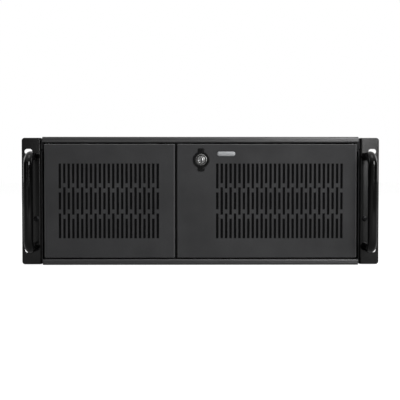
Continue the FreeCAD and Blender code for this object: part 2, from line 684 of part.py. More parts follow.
def right_handle():
    """A round bar bent into a bow, tapped at both ends."""
    low, high = handle_places()
    reach = EAR_FACE - HANDLE_STANDOUT
    corners = [V(HANDLE_X, EAR_FACE, low), V(HANDLE_X, reach, low), V(HANDLE_X, reach, high),
               V(HANDLE_X, EAR_FACE, high)]
    edges = []
    last = corners[0]
    for before, corner, after in zip(corners, corners[1:], corners[2:]):
        arc = corner_arc(before, corner, after, HANDLE_BEND)
        edges += [Part.makeLine(last, arc[0]), Part.Arc(*arc).toShape()]
        last = arc[2]
    edges.append(Part.makeLine(last, corners[3]))
    section = Part.Wire(Part.makeCircle(HANDLE_BAR / 2, corners[0], V(0, 1, 0)))
    bar = Part.Wire(edges).makePipeShell([section], True, False)
    taps = [rod("y", HANDLE_SCREW_RADIUS, EAR_BACK - HANDLE_SCREW_REACH - PAST, EAR_FACE + PAST, HANDLE_X, z)
            for z in (low, high)]
    return bar.cut(taps)


def handle_screws():
    """Screws from behind the ears into the handles."""
    screws = [screw("y", EAR_BACK, 1, HANDLE_X, z, HANDLE_SCREW_RADIUS, HANDLE_SCREW_REACH,
                    HANDLE_SCREW_HEAD, HANDLE_SCREW_HEIGHT) for z in handle_places()]
    return Part.makeCompound(screws + [mirrored(one) for one in screws])


# ---- doors

def vent_slots(middle, columns):
    """Columns of three upright slots; every other column has shorter end slots."""
    tools = []
    for i, x in enumerate(row(columns, VENT_PITCH, middle)):
        end = EVEN_END_SLOT if i % 2 else ODD_END_SLOT
        z = MID_Z - VENT_HEIGHT / 2
        for height in (end, VENT_HEIGHT - 2 * end - 2 * VENT_BRIDGE, end):
            tools.append(block(x - VENT_WIDTH / 2, x + VENT_WIDTH / 2, DOOR_FACE - PAST, DOOR_INSIDE + PAST,
                               z, z + height))
            z += height + VENT_BRIDGE
    return tools


def door_pan(x0, x1, hinge_on_left):
    """A pan folded from one sheet and open at the back, with its upper and lower edges rounded."""
    radii = [DOOR_HINGE_CORNER, DOOR_FREE_CORNER] if hinge_on_left else [DOOR_FREE_CORNER, DOOR_HINGE_CORNER]
    outer = [(x0, DOOR_FACE), (x1, DOOR_FACE), (x1, DOOR_BACK), (x0, DOOR_BACK)]
    pan = prism("z", DOOR_BOTTOM, DOOR_TOP - DOOR_BOTTOM, outer, radii + [0.0, 0.0])
    rim = [edge for edge in pan.Edges
           if edge.BoundBox.ZLength < TINY and edge.BoundBox.YMin < DOOR_FACE + TINY
           and edge.BoundBox.XLength > max(radii) + TINY]
    pan = pan.makeFillet(DOOR_LIP, rim)
    inner = [(x0 + SHEET, DOOR_INSIDE), (x1 - SHEET, DOOR_INSIDE), (x1 - SHEET, DOOR_BACK + PAST),
             (x0 + SHEET, DOOR_BACK + PAST)]
    hollow = prism("z", DOOR_BOTTOM + SHEET, DOOR_TOP - DOOR_BOTTOM - 2 * SHEET, inner,
                   [radius - SHEET for radius in radii] + [0.0, 0.0])
    hinge_x = -HINGE_X if hinge_on_left else HINGE_X
    bores = [rod("z", HINGE_PIN_RADIUS, DOOR_BOTTOM - PAST, DOOR_BOTTOM + SHEET + PAST, hinge_x, HINGE_Y),
             rod("z", HINGE_PIN_RADIUS, DOOR_TOP - SHEET - PAST, DOOR_TOP + PAST, hinge_x, HINGE_Y)]
    return pan.cut([hollow] + bores)


def left_door():
    return door_pan(-DOOR_OUTER, LEFT_DOOR_END, True).cut(vent_slots(LEFT_VENT_X, LEFT_VENT_COLUMNS))


def right_door():
    lock_hole = rod("y", LOCK_BODY_RADIUS + SCREW_GAP, DOOR_FACE - PAST, DOOR_INSIDE + PAST, LOCK_X, LOCK_Z)
    door = door_pan(RIGHT_DOOR_END, DOOR_OUTER, False)
    return door.cut(vent_slots(RIGHT_VENT_X, RIGHT_VENT_COLUMNS) + [lock_hole])


def right_hinge_pins():
    """A pin riveted in each end of the door; its collar fills the gap to the rail and its tip turns in it."""
    upper = DOOR_TOP - SHEET
    pins = []
    for way, face in ((1, upper), (-1, DOOR_BOTTOM + SHEET)):
        ends = [(HINGE_COLLAR, -HINGE_HEAD_HEIGHT, 0), (HINGE_PIN_RADIUS, 0, SHEET),
                (HINGE_COLLAR, SHEET, SHEET + DOOR_GAP - SLIDE_GAP),
                (HINGE_PIN_RADIUS, SHEET + DOOR_GAP - SLIDE_GAP, SHEET + DOOR_GAP + HINGE_PIN_REACH)]
        steps = []
        for radius, start, end in ends:
            low, high = sorted((face + way * start, face + way * end))
            steps.append(rod("z", radius, low, high, HINGE_X, HINGE_Y))
        pins.append(join(*steps))
    return Part.makeCompound(pins)


def vent_width(columns):
    return (columns - 1) * VENT_PITCH + VENT_WIDTH


def filter_foam(middle, columns):
    """An open-celled dust filter over the back of a door's slots."""
    width = vent_width(columns) + 2 * FILTER_MARGIN
    height = VENT_HEIGHT + 2 * FILTER_MARGIN
    return prism("y", DOOR_INSIDE, FILTER_THICKNESS, rectangle(middle, MID_Z, width, height))


def filter_frame(middle, columns):
    """A folded frame that holds the foam to the door: a flange, a wall round the foam and a lip over it."""
    width = vent_width(columns) + 2 * FILTER_MARGIN
    height = VENT_HEIGHT + 2 * FILTER_MARGIN
    back = DOOR_INSIDE + FILTER_THICKNESS
    wall = 2 * FILTER_SHEET

    def slab(front, thickness, grow):
        return prism("y", front, thickness, rectangle(middle, MID_Z, width + grow, height + grow))

    flange = slab(DOOR_INSIDE, FILTER_SHEET, wall + 2 * FILTER_FLANGE)
    box = slab(DOOR_INSIDE, FILTER_THICKNESS + FILTER_SHEET, wall)
    pocket = slab(DOOR_INSIDE - PAST, FILTER_THICKNESS + PAST, 0)
    window = slab(back - PAST, FILTER_SHEET + 2 * PAST, -2 * FILTER_LIP)
    return join(flange, box).cut([pocket, window])


# ---- door lock and badge

def lock_escutcheon():
    """A round plate with a lug above and below, under the lock's rim."""
    front = DOOR_FACE - ESCUTCHEON_THICKNESS
    disc = rod("y", ESCUTCHEON_RADIUS, front, DOOR_FACE, LOCK_X, LOCK_Z)
    lugs = prism("y", front, ESCUTCHEON_THICKNESS,
                 rectangle(LOCK_X, LOCK_Z, ESCUTCHEON_LUG, ESCUTCHEON_HEIGHT), ESCUTCHEON_CORNER)
    hole = rod("y", LOCK_BODY_RADIUS, front - PAST, DOOR_FACE + PAST, LOCK_X, LOCK_Z)
    return join(disc, lugs).cut([hole])


def lock_barrel():
    """The tube of the lock, with a bevelled rim."""
    body = rod("y", LOCK_BODY_RADIUS, LOCK_FRONT, LOCK_BACK, LOCK_X, LOCK_Z)
    rim = [edge for edge in body.Edges if edge.BoundBox.YMax < LOCK_FRONT + TINY]
    body = body.makeChamfer(LOCK_EDGE, rim)
    bore = rod("y", LOCK_ROTOR_RADIUS + SHAFT_GAP, LOCK_FRONT - PAST, LOCK_BACK + PAST, LOCK_X, LOCK_Z)
    return body.cut([bore])


def lock_nut():
    nut = prism("y", DOOR_INSIDE, LOCK_NUT_HEIGHT, hexagon(LOCK_X, LOCK_Z, LOCK_NUT_FLATS))
    return nut.cut([rod("y", LOCK_BODY_RADIUS, DOOR_INSIDE - PAST, DOOR_INSIDE + LOCK_NUT_HEIGHT + PAST,
                        LOCK_X, LOCK_Z)])


def lock_rotor():
    """The plug that the key turns, with its keyway in front and a tapped hole behind."""
    plug = rod("y", LOCK_ROTOR_RADIUS, LOCK_FRONT + LOCK_ROTOR_RECESS, CAM_FACE, LOCK_X, LOCK_Z)
    keyway = prism("y", LOCK_FRONT, KEYWAY_DEPTH, rectangle(LOCK_X, LOCK_Z, KEYWAY_WIDTH, KEYWAY_HEIGHT))
    tap = rod("y", CAM_SCREW_RADIUS, CAM_BACK - CAM_SCREW_REACH, CAM_FACE + PAST, LOCK_X, LOCK_Z)
    return plug.cut([keyway, tap])


def lock_cam():
    """A flat lever that hangs down when the door is unlocked."""
    reach = CAM_LENGTH + CAM_WIDTH / 2
    lever = prism("y", CAM_FACE, CAM_THICKNESS,
                  rectangle(LOCK_X, LOCK_Z + CAM_WIDTH / 2 - reach / 2, CAM_WIDTH, reach),
                  [CAM_CORNER, CAM_CORNER, CAM_WIDTH * ROUND_END, CAM_WIDTH * ROUND_END])
    return lever.cut([rod("y", CAM_SCREW_RADIUS, CAM_FACE - PAST, CAM_BACK + PAST, LOCK_X, LOCK_Z)])


def lock_cam_screw():
    return screw("y", CAM_BACK, 1, LOCK_X, LOCK_Z, CAM_SCREW_RADIUS, CAM_SCREW_REACH,
                 CAM_SCREW_HEAD, CAM_SCREW_HEIGHT)


def badge():
    """A bare bar with round ends on the right door."""
    front = DOOR_FACE - BADGE_THICKNESS
    return slot("y", front, BADGE_THICKNESS, BADGE_X, BADGE_Z, BADGE_LENGTH, BADGE_HEIGHT)


# ---- top cover

def top_cover():
    """A lid with a lap down each side and one behind the rear panel; it slides off backwards."""
    front = RAIL_BACK + SLIDE_GAP
    low = BODY_HEIGHT - COVER_LAP
    across = [(COVER_SIDE, low), (COVER_SIDE, BODY_HEIGHT), (-COVER_SIDE, BODY_HEIGHT), (-COVER_SIDE, low)]
    lid = fold("y", front, LAP_BACK - BEND - SHEET - front, across)
    behind = [(LAP_BACK, BODY_HEIGHT - COVER_REAR_LAP), (LAP_BACK, BODY_HEIGHT),
              (LAP_BACK - COVER_REAR_LAP, BODY_HEIGHT)]
    lap = fold("x", -LAP_END, 2 * LAP_END, behind)
    holes = [rod("y", THUMBSCREW_SHANK, LAP_BACK - SHEET - PAST, LAP_BACK + PAST, x, THUMBSCREW_Z)
             for x in row(THUMBSCREW_COUNT, THUMBSCREW_SPACING)]
    return join(lid, lap).cut(holes)


def cover_thumbscrews():
    """Captive screws that stay in the cover's rear lap."""
    screws = []
    for x in row(THUMBSCREW_COUNT, THUMBSCREW_SPACING):
        neck = LAP_BACK + THUMBSCREW_NECK
        steps = [rod("y", THUMBSCREW_SHANK, REAR_FACE - THUMBSCREW_REACH, LAP_BACK, x, THUMBSCREW_Z),
                 rod("y", THUMBSCREW_HEAD - THUMBSCREW_NECK, LAP_BACK, neck, x, THUMBSCREW_Z),
                 rod("y", THUMBSCREW_HEAD, neck, LAP_BACK + THUMBSCREW_LENGTH, x, THUMBSCREW_Z)]
        screws.append(join(*steps))
    return Part.makeCompound(screws)


# ---- fans, each built upright on z = 0 and then turned to its panel

def fan_holes(fan):
    return [(x, y) for x in row(2, fan["spacing"]) for y in row(2, fan["spacing"])]


def fan_screw_holes(fan, x, z, start, end):
    return [rod("y", FAN_HOLE_RADIUS, start, end, x + a, z + b) for a, b in fan_holes(fan)]


def fan_frame(fan):
    """A square frame with a round duct, two flanges, and a motor plate on four struts at its far side."""
    side = fan["side"]
    depth = fan["depth"]
    bore = fan["bore"]
    square = rectangle(0, 0, side, side)
    flanges = [prism("z", z, FAN_FLANGE, square, FAN_CORNER) for z in (0, depth - FAN_FLANGE)]
    duct = Part.makeCylinder(side / 2, depth)
    body = join(duct, *flanges).cut([rod("z", bore, -PAST, depth + PAST, 0, 0)])
    plate = rod("z", fan["hub"], depth - FAN_STRUT_DEPTH, depth, 0, 0)
    struts = []
    for i in range(4):
        strut = block(fan["hub"] - PAST, bore + PAST, -FAN_STRUT / 2, FAN_STRUT / 2,
                      depth - FAN_STRUT_DEPTH, depth)
        struts.append(strut.rotate(V(0, 0, 0), V(0, 0, 1), 90 * i + 45))
    bearing = rod("z", FAN_SHAFT_RADIUS + SHAFT_GAP, depth - FAN_STRUT_DEPTH - PAST, depth + PAST, 0, 0)
    holes = [rod("z", FAN_HOLE_RADIUS, -PAST, FAN_FLANGE + PAST, x, y) for x, y in fan_holes(fan)]
    return join(body, plate, *struts).cut([bearing] + holes)


def blade_section(radius, chord, pitch, middle):
    """A thin four-sided section across a blade at this radius."""
    angle = math.radians(pitch)
    along_blade = V(0, math.cos(angle), math.sin(angle)) * (chord / 2)
    through = V(0, -math.sin(angle), math.cos(angle)) * (BLADE_THICKNESS / 2)
    centre = V(radius, 0, middle)
    corners = [centre - along_blade - through, centre + along_blade - through,
               centre + along_blade + through, centre - along_blade + through]
    return Part.makePolygon(corners + corners[:1])


def fan_rotor(fan):
    """A hub with twisted blades and the shaft that turns in the motor plate."""
    depth = fan["depth"]
    hub_back = depth - FAN_STRUT_DEPTH - FAN_BACK_GAP
    middle = (FAN_RECESS + hub_back) / 2
    tip_chord = (hub_back - FAN_RECESS - BLADE_THICKNESS) / math.sin(math.radians(BLADE_TIP_PITCH))
    reach = math.sqrt((fan["bore"] - FAN_TIP_GAP) ** 2 - (tip_chord / 2) ** 2)
    hub = rod("z", fan["hub"], FAN_RECESS, hub_back, 0, 0)
    blades = []
    for i in range(fan["blades"]):
        root = blade_section(fan["hub"] - PAST, BLADE_ROOT_CHORD, BLADE_ROOT_PITCH, middle)
        tip = blade_section(reach, tip_chord, BLADE_TIP_PITCH, middle)
        blade = Part.makeLoft([root, tip], True, True)
        blades.append(blade.rotate(V(0, 0, 0), V(0, 0, 1), 360 * i / fan["blades"]))
    shaft = rod("z", FAN_SHAFT_RADIUS, hub_back - PAST, hub_back + FAN_BACK_GAP + FAN_SHAFT_REACH, 0, 0)
    return join(hub, shaft, *blades)


def fan_guard(fan):
    """A flat guard of rings and diagonal spokes, cut from one sheet."""
    pitch = (fan["bore"] - GUARD_RING) / GUARD_RINGS
    rings = []
    for i in range(1, GUARD_RINGS + 1):
        outer = rod("z", pitch * i + GUARD_RING / 2, -GUARD_THICKNESS, 0, 0, 0)
        rings.append(outer.cut(rod("z", pitch * i - GUARD_RING / 2, -GUARD_THICKNESS - PAST, PAST, 0, 0)))
    reach = fan["spacing"] / math.sqrt(2)
    spokes = []
    for i in range(4):
        spoke = block(pitch - GUARD_RING / 4, reach, -GUARD_RING / 2, GUARD_RING / 2, -GUARD_THICKNESS, 0)
        spokes.append(spoke.rotate(V(0, 0, 0), V(0, 0, 1), 90 * i + 45))
    pads = [rod("z", GUARD_PAD, -GUARD_THICKNESS, 0, x, y) for x, y in fan_holes(fan)]
    holes = [rod("z", GUARD_SCREW_RADIUS + SCREW_GAP, -GUARD_THICKNESS - PAST, PAST, x, y)
             for x, y in fan_holes(fan)]
    return join(rings[0], *(rings[1:] + spokes + pads)).cut(holes)


def stand(shape, way, face, x, z):
    """Turn a piece that was built on z = 0 so that it stands on a panel's face and points the given way."""
    return shape.rotate(V(0, 0, 0), V(1, 0, 0), -90 * way).translate(V(x, face, z))


def guard_screws():
    screws = []
    for x in (LEFT_FAN_X, RIGHT_FAN_X):
        for a, b in fan_holes(REAR_FAN):
            screws.append(screw("y", REAR_FACE + GUARD_THICKNESS, 1, x + a, REAR_FAN_Z + b,
                                GUARD_SCREW_RADIUS, GUARD_SCREW_REACH, GUARD_SCREW_HEAD, GUARD_SCREW_HEIGHT))
    return Part.makeCompound(screws)


# ---- drive cages

def cage(x, width, top, front, length, shelves):
    """A folded hat that stands on the floor by its feet, with shelves welded between its walls."""
    left = x - width / 2
    right = x + width / 2
    path = [(left - CAGE_FOOT, SHEET), (left, SHEET), (left, top), (right, top), (right, SHEET),
            (right + CAGE_FOOT, SHEET)]
    return join(fold("y", front, length, path, CAGE_SHEET), *shelves)


def drive_cage():
    top = BAY_FLOOR_Z + BAY_COUNT * BAY_HEIGHT
    left = CAGE_X - BAY_WIDTH / 2
    right = CAGE_X + BAY_WIDTH / 2
    floor = block(left - PAST / 2, right + PAST / 2, PANEL_BACK, PANEL_BACK + CAGE_LENGTH,
                  BAY_FLOOR_Z - CAGE_SHEET, BAY_FLOOR_Z)
    slots = []
    for i in range(BAY_COUNT):
        z = BAY_FLOOR_Z + i * BAY_HEIGHT + CAGE_SLOT_RISE
        for setback in CAGE_SLOT_SETBACK:
            slots.append(prism("x", left - CAGE_SHEET - PAST, BAY_WIDTH + 2 * CAGE_SHEET + 2 * PAST,
                               rectangle(PANEL_BACK + setback, z, CAGE_SLOT_LENGTH, CAGE_SLOT_HEIGHT)))
    reach = BAY_WIDTH / 2 + CAGE_FOOT + PAST
    notch = block(CAGE_X - reach, CAGE_X + reach, PANEL_BACK - PAST, PANEL_FACE + PANEL_FLANGE + SLIDE_GAP,
                  0, 2 * SHEET + BEND + SLIDE_GAP)
    return cage(CAGE_X, BAY_WIDTH, top, PANEL_BACK, CAGE_LENGTH, [floor]).cut(slots + [notch])


def disk_cage():
    top = DISK_SHELF_Z + DISK_BAY_COUNT * DISK_BAY_HEIGHT
    front = EAR_FACE + DISK_CAGE_SETBACK
    left = DISK_CAGE_X - DISK_BAY_WIDTH / 2 - PAST / 2
    right = DISK_CAGE_X + DISK_BAY_WIDTH / 2 + PAST / 2
    shelves = []
    for i in range(DISK_BAY_COUNT):
        z = DISK_SHELF_Z + i * DISK_BAY_HEIGHT
        for x0, x1 in ((left, left + DISK_SHELF), (right - DISK_SHELF, right)):
            shelves.append(block(x0, x1, front, front + DISK_CAGE_LENGTH, z - CAGE_SHEET, z))
    return cage(DISK_CAGE_X, DISK_BAY_WIDTH, top, front, DISK_CAGE_LENGTH, shelves)


def bay_cover(index):
    """A blank moulded cover, bevelled in front and hollow behind."""
    front = PANEL_FACE - BAY_COVER_STANDOUT
    z = BAY_FLOOR_Z + (index + 0.5) * BAY_HEIGHT
    width = BAY_WIDTH - 2 * BAY_COVER_GAP
    height = BAY_HEIGHT - 2 * BAY_COVER_GAP
    cover = prism("y", front, BAY_COVER_DEPTH, rectangle(CAGE_X, z, width, height))
    rim = [edge for edge in cover.Edges if edge.BoundBox.YMax < front + TINY]
    cover = cover.makeChamfer(BAY_COVER_BEVEL, rim)
    hollow = prism("y", front + BAY_COVER_WALL, BAY_COVER_DEPTH,
                   rectangle(CAGE_X, z, width - 2 * BAY_COVER_WALL, height - 2 * BAY_COVER_WALL))
    return cover.cut([hollow])


# ---- controls

def control_strip():
    """A moulded strip over its window in the front panel, with two posts that carry the board."""
    length = CONTROL_THICKNESS
    strip = prism("y", STRIP_FACE, length, rectangle(CONTROL_X, CONTROL_Z, CONTROL_WIDTH, CONTROL_HEIGHT),
                  CONTROL_CORNER)
    posts = [rod("y", CONTROL_POST_RADIUS, PANEL_FACE - PAST, BOARD_FACE, CONTROL_X, z)
             for z in row(2, WINDOW_HEIGHT - 2 * CONTROL_POST_INSET, CONTROL_Z)]
    through = (STRIP_FACE - PAST, PANEL_FACE + PAST)
    holes = [rod("y", POWER_BUTTON_RADIUS + BUTTON_GAP, *through, CONTROL_X, CONTROL_Z + POWER_BUTTON_RISE),
             rod("y", RESET_BUTTON_RADIUS + BUTTON_GAP, *through, CONTROL_X, CONTROL_Z + RESET_BUTTON_RISE)]
    holes += [rod("y", LIGHT_RADIUS, *through, CONTROL_X, CONTROL_Z + rise) for rise in LIGHT_RISE]
    holes += [prism("y", through[0], length + 2 * PAST,
                    rectangle(CONTROL_X, CONTROL_Z + rise, USB_WIDTH, USB_HEIGHT)) for rise in USB_RISE]
    return join(strip, *posts).cut(holes)


def control_board():
    outer = rectangle(CONTROL_X, CONTROL_Z, WINDOW_WIDTH, WINDOW_HEIGHT)
    return prism("y", BOARD_FACE, BOARD_THICKNESS, outer)


def button(radius, rise):
    """A button with a collar behind the strip and a stem that reaches for its switch."""
    z = CONTROL_Z + rise
    collar = PANEL_FACE + SLIDE_GAP
    cap = rod("y", radius, STRIP_FACE - BUTTON_STANDOUT, collar, CONTROL_X, z)
    rim = [edge for edge in cap.Edges if edge.BoundBox.YMax < STRIP_FACE - BUTTON_STANDOUT + TINY]
    cap = cap.makeChamfer(BUTTON_EDGE, rim)
    ring = rod("y", radius + BUTTON_COLLAR, collar, collar + BUTTON_COLLAR_THICKNESS, CONTROL_X, z)
    stem = rod("y", BUTTON_STEM_RADIUS, collar, BOARD_FACE - SWITCH_HEIGHT - BUTTON_TRAVEL - SWITCH_GAP,
               CONTROL_X, z)
    return join(cap, ring, stem)


def switches():
    """A push switch on the board behind each button."""
    return Part.makeCompound([
        prism("y", BOARD_FACE - SWITCH_HEIGHT, SWITCH_HEIGHT,
              rectangle(CONTROL_X, CONTROL_Z + rise, SWITCH_SIZE, SWITCH_SIZE))
        for rise in (POWER_BUTTON_RISE, RESET_BUTTON_RISE)])


def status_lights():
    return Part.makeCompound([
        rod("y", LIGHT_RADIUS, STRIP_FACE - LIGHT_STANDOUT, BOARD_FACE, CONTROL_X, CONTROL_Z + rise)
        for rise in LIGHT_RISE])


def usb_port(rise):
    """A sheet-metal shell with the contact tongue inside."""
    z = CONTROL_Z + rise
    length = BOARD_FACE - STRIP_FACE
    shell = prism("y", STRIP_FACE, length, rectangle(CONTROL_X, z, USB_WIDTH, USB_HEIGHT))
    hollow = prism("y", STRIP_FACE - PAST, length + PAST - USB_SHELL,
                   rectangle(CONTROL_X, z, USB_WIDTH - 2 * USB_SHELL, USB_HEIGHT - 2 * USB_SHELL))
    tongue = prism("y", STRIP_FACE + USB_TONGUE_INSET, length - USB_TONGUE_INSET - USB_SHELL / 2,
                   rectangle(CONTROL_X, z + USB_TONGUE_INSET / 2, USB_WIDTH - 2 * USB_TONGUE, USB_TONGUE))
    return join(shell.cut([hollow]), tongue)


# ---- card slots, board supports and the bar over the cards

def slot_places():
    return row(SLOT_COUNT, SLOT_PITCH, SLOT_MIDDLE_X)


def slot_covers():
    """A blank bracket inside each card opening, with a tab that folds forward over the rail."""
    path = [(REAR_INNER, SLOT_BOTTOM - SLOT_COVER_OVERLAP), (REAR_INNER, SLOT_TOP),
            (REAR_INNER - SLOT_COVER_TAB, SLOT_TOP)]
    covers = []
    for x in slot_places():
        cover = fold("x", x - SLOT_COVER_WIDTH / 2, SLOT_COVER_WIDTH, path, SLOT_COVER_SHEET)
        covers.append(cover.cut([slot_screw_hole(x)]))
    return Part.makeCompound(covers)


def slot_screw_hole(x):
    return rod("z", SLOT_SCREW_RADIUS + SCREW_GAP, SLOT_TOP - SLOT_RAIL_DROP, SLOT_TOP + PAST,
               x, REAR_INNER - SLOT_SCREW_SETBACK)


def slot_rail():
    """The ledge under the tabs of the card brackets, folded down in front and tied to the rear panel."""
    ledge = SLOT_TOP - SLOT_COVER_SHEET
    back = REAR_INNER - SLOT_COVER_SHEET - BEND
    front = REAR_INNER - SLOT_RAIL_DEPTH
    half = (SLOT_COUNT - 1) * SLOT_PITCH / 2 + SLOT_COVER_WIDTH / 2 + SLOT_RAIL_MARGIN
    path = [(back, ledge), (front, ledge), (front, ledge - SLOT_RAIL_DROP)]
    shelf = fold("x", SLOT_MIDDLE_X - half, 2 * half, path)
    ends = [block(x, x + SHEET, front + SHEET / 2, REAR_INNER, ledge - SLOT_RAIL_DROP, ledge - SHEET / 2)
            for x in (SLOT_MIDDLE_X - half, SLOT_MIDDLE_X + half - SHEET)]
    return join(shelf, *ends).cut([slot_screw_hole(x) for x in slot_places()])


def slot_screws():
    """A hexagon-headed screw down through each tab."""
    screws = []
    for x in slot_places():
        y = REAR_INNER - SLOT_SCREW_SETBACK
        head = prism("z", SLOT_TOP, SLOT_SCREW_HEIGHT, hexagon(x, y, SLOT_SCREW_FLATS))
        screws.append(join(head, rod("z", SLOT_SCREW_RADIUS, SLOT_TOP - SLOT_SCREW_REACH, SLOT_TOP, x, y)))
    return Part.makeCompound(screws)


def standoffs():
    """Hexagonal spacers that carry the main board."""
    return Part.makeCompound([
        prism("z", SHEET, STANDOFF_HEIGHT, hexagon(x, REAR_INNER - back, STANDOFF_FLATS))
        for x in BOARD_HOLE_X for back in BOARD_HOLE_BACK])


def card_bar():
    """A channel across the case under its top flanges, which stiffens it and keeps the cards down."""
    top = CHASSIS_TOP - SHEET
    front = EAR_FACE + CARD_BAR_SETBACK
    back = front + CARD_BAR_WIDTH
    path = [(back, top - CARD_BAR_DROP), (back, top), (front, top), (front, top - CARD_BAR_DROP)]
    half = JOGGLE_SIDE - SHEET - BEND
    return fold("x", -half, 2 * half, path)


# ---- every piece by its name

pieces = {
    "chassis_base": chassis_base(),
    "front_panel": front_panel(),
    "rear_panel": rear_panel(),
    "centre_post": centre_post(),
    "door_magnets": door_magnets(),
    "top_rail": top_rail(),
    "bottom_rail": bottom_rail(),
    "ear_left": mirrored(right_ear()),
    "ear_right": right_ear(),
    "ear_screws": ear_screws(),
    "ear_face_screws": face_screws(),
    "handle_left": mirrored(right_handle()),
    "handle_right": right_handle(),
    "handle_screws": handle_screws(),
    "left_door": left_door(),
    "left_hinge_pins": mirrored(right_hinge_pins()),
    "left_filter": filter_foam(LEFT_VENT_X, LEFT_VENT_COLUMNS),
    "left_filter_frame": filter_frame(LEFT_VENT_X, LEFT_VENT_COLUMNS),
    "right_door": right_door(),
    "right_hinge_pins": right_hinge_pins(),
    "right_filter": filter_foam(RIGHT_VENT_X, RIGHT_VENT_COLUMNS),
    "right_filter_frame": filter_frame(RIGHT_VENT_X, RIGHT_VENT_COLUMNS),
    "lock_escutcheon": lock_escutcheon(),
    "lock_barrel": lock_barrel(),
    "lock_nut": lock_nut(),
    "lock_rotor": lock_rotor(),
    "lock_cam": lock_cam(),
    "lock_cam_screw": lock_cam_screw(),
    "badge": badge(),
    "top_cover": top_cover(),
    "cover_thumbscrews": cover_thumbscrews(),
    "front_fan_frame": stand(fan_frame(FRONT_FAN), 1, PANEL_BACK, FRONT_FAN_X, FRONT_FAN_Z),
    "front_fan_rotor": stand(fan_rotor(FRONT_FAN), 1, PANEL_BACK, FRONT_FAN_X, FRONT_FAN_Z),
    "rear_fan_frame_left": stand(fan_frame(REAR_FAN), -1, REAR_INNER, LEFT_FAN_X, REAR_FAN_Z),
    "rear_fan_rotor_left": stand(fan_rotor(REAR_FAN), -1, REAR_INNER, LEFT_FAN_X, REAR_FAN_Z),
    "rear_fan_frame_right": stand(fan_frame(REAR_FAN), -1, REAR_INNER, RIGHT_FAN_X, REAR_FAN_Z),
    "rear_fan_rotor_right": stand(fan_rotor(REAR_FAN), -1, REAR_INNER, RIGHT_FAN_X, REAR_FAN_Z),
    "fan_guard_left": stand(fan_guard(REAR_FAN), -1, REAR_FACE, LEFT_FAN_X, REAR_FAN_Z),
    "fan_guard_right": stand(fan_guard(REAR_FAN), -1, REAR_FACE, RIGHT_FAN_X, REAR_FAN_Z),
    "guard_screws": guard_screws(),
    "drive_cage": drive_cage(),
    "disk_cage": disk_cage(),
    "control_strip": control_strip(),
    "control_board": control_board(),
    "power_button": button(POWER_BUTTON_RADIUS, POWER_BUTTON_RISE),
    "reset_button": button(RESET_BUTTON_RADIUS, RESET_BUTTON_RISE),
    "switches": switches(),
    "status_lights": status_lights(),
    "usb_ports": Part.makeCompound([usb_port(rise) for rise in USB_RISE]),
    "slot_covers": slot_covers(),
    "slot_rail": slot_rail(),
    "slot_screws": slot_screws(),
    "standoffs": standoffs(),
    "card_bar": card_bar(),
}
for index in range(BAY_COUNT):
    pieces["bay_cover_%d" % (index + 1)] = bay_cover(index)

os.makedirs("parts", exist_ok=True)
for name, shape in pieces.items():
    shape.exportStep("parts/%s.step" % name)
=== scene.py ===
"""Dresses the CAD frame of an empty 4U rackmount server case: finishes, rails, lock, screws, rivets,
filter foam and a plain studio. Laid out as a Blender add-on and run as a script."""
import math

import bmesh
import bpy
from mathutils import Matrix, Vector, noise


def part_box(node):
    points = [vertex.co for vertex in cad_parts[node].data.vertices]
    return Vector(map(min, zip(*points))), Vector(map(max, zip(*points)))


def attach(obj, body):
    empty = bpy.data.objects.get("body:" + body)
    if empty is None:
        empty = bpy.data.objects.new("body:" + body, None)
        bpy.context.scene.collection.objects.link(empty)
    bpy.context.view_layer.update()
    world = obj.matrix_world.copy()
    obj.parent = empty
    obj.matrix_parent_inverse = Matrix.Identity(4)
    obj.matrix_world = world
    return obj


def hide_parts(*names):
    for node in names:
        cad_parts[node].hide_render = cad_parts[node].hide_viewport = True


bl_info = {
    "name": "Rackmount server case",
    "version": (1, 0, 0),
    "blender": (4, 5, 0),
    "location": "View3D > Sidebar > Server case",
    "description": "Dresses the CAD frame of an empty rackmount server case",
    "category": "Object",
}

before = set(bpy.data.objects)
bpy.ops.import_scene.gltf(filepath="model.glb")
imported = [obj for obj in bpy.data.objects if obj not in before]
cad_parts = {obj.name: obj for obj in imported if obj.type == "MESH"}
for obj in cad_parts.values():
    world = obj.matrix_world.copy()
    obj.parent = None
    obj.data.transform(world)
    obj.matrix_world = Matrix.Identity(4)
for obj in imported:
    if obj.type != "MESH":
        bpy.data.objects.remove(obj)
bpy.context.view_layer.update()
MM = 0.001

# Each finish by the name of its slot; the first operator fills it.
FINISHES = {}

# Name, azimuth and elevation in degrees, distance, width and height in metres, and whose power it takes.
# Azimuth 0 is in front of the case, 90 to its right.
LAMPS = (
    ("key_softbox", 26, 19, 1.5, 0.5, 0.5, "key_power"),
    ("top_softbox", 10, 72, 1.6, 0.8, 0.8, "top_power"),
    ("left_softbox", -100, 25, 1.8, 0.8, 0.8, "side_power"),
    ("right_softbox", 100, 25, 1.8, 0.8, 0.8, "side_power"),
    ("rear_softbox", 190, 35, 1.8, 0.8, 0.8, "rear_power"),
    ("left_strip", -18, 6, 1.3, 0.05, 0.5, "left_strip_power"),
    ("right_strip", 21, 11, 1.3, 0.05, 0.5, "right_strip_power"),
)
# The height that the lamps point at, half way up the case.
LAMP_AIM = 0.086
CAMERA_PLACE = (-1.98 * MM, -985.44 * MM, 119.95 * MM)
CAMERA_TURN = (math.radians(90 - 1.096), 0, math.radians(-0.316))
CAMERA_SHIFT = (-0.0058, -0.0334)


# ---- small tools for materials

def linear(code):
    """An sRGB hex colour as the linear RGBA that a shader takes."""
    channels = [int(code[i:i + 2], 16) / 255 for i in (1, 3, 5)]
    return [c / 12.92 if c <= 0.04045 else ((c + 0.055) / 1.055) ** 2.4 for c in channels] + [1.0]


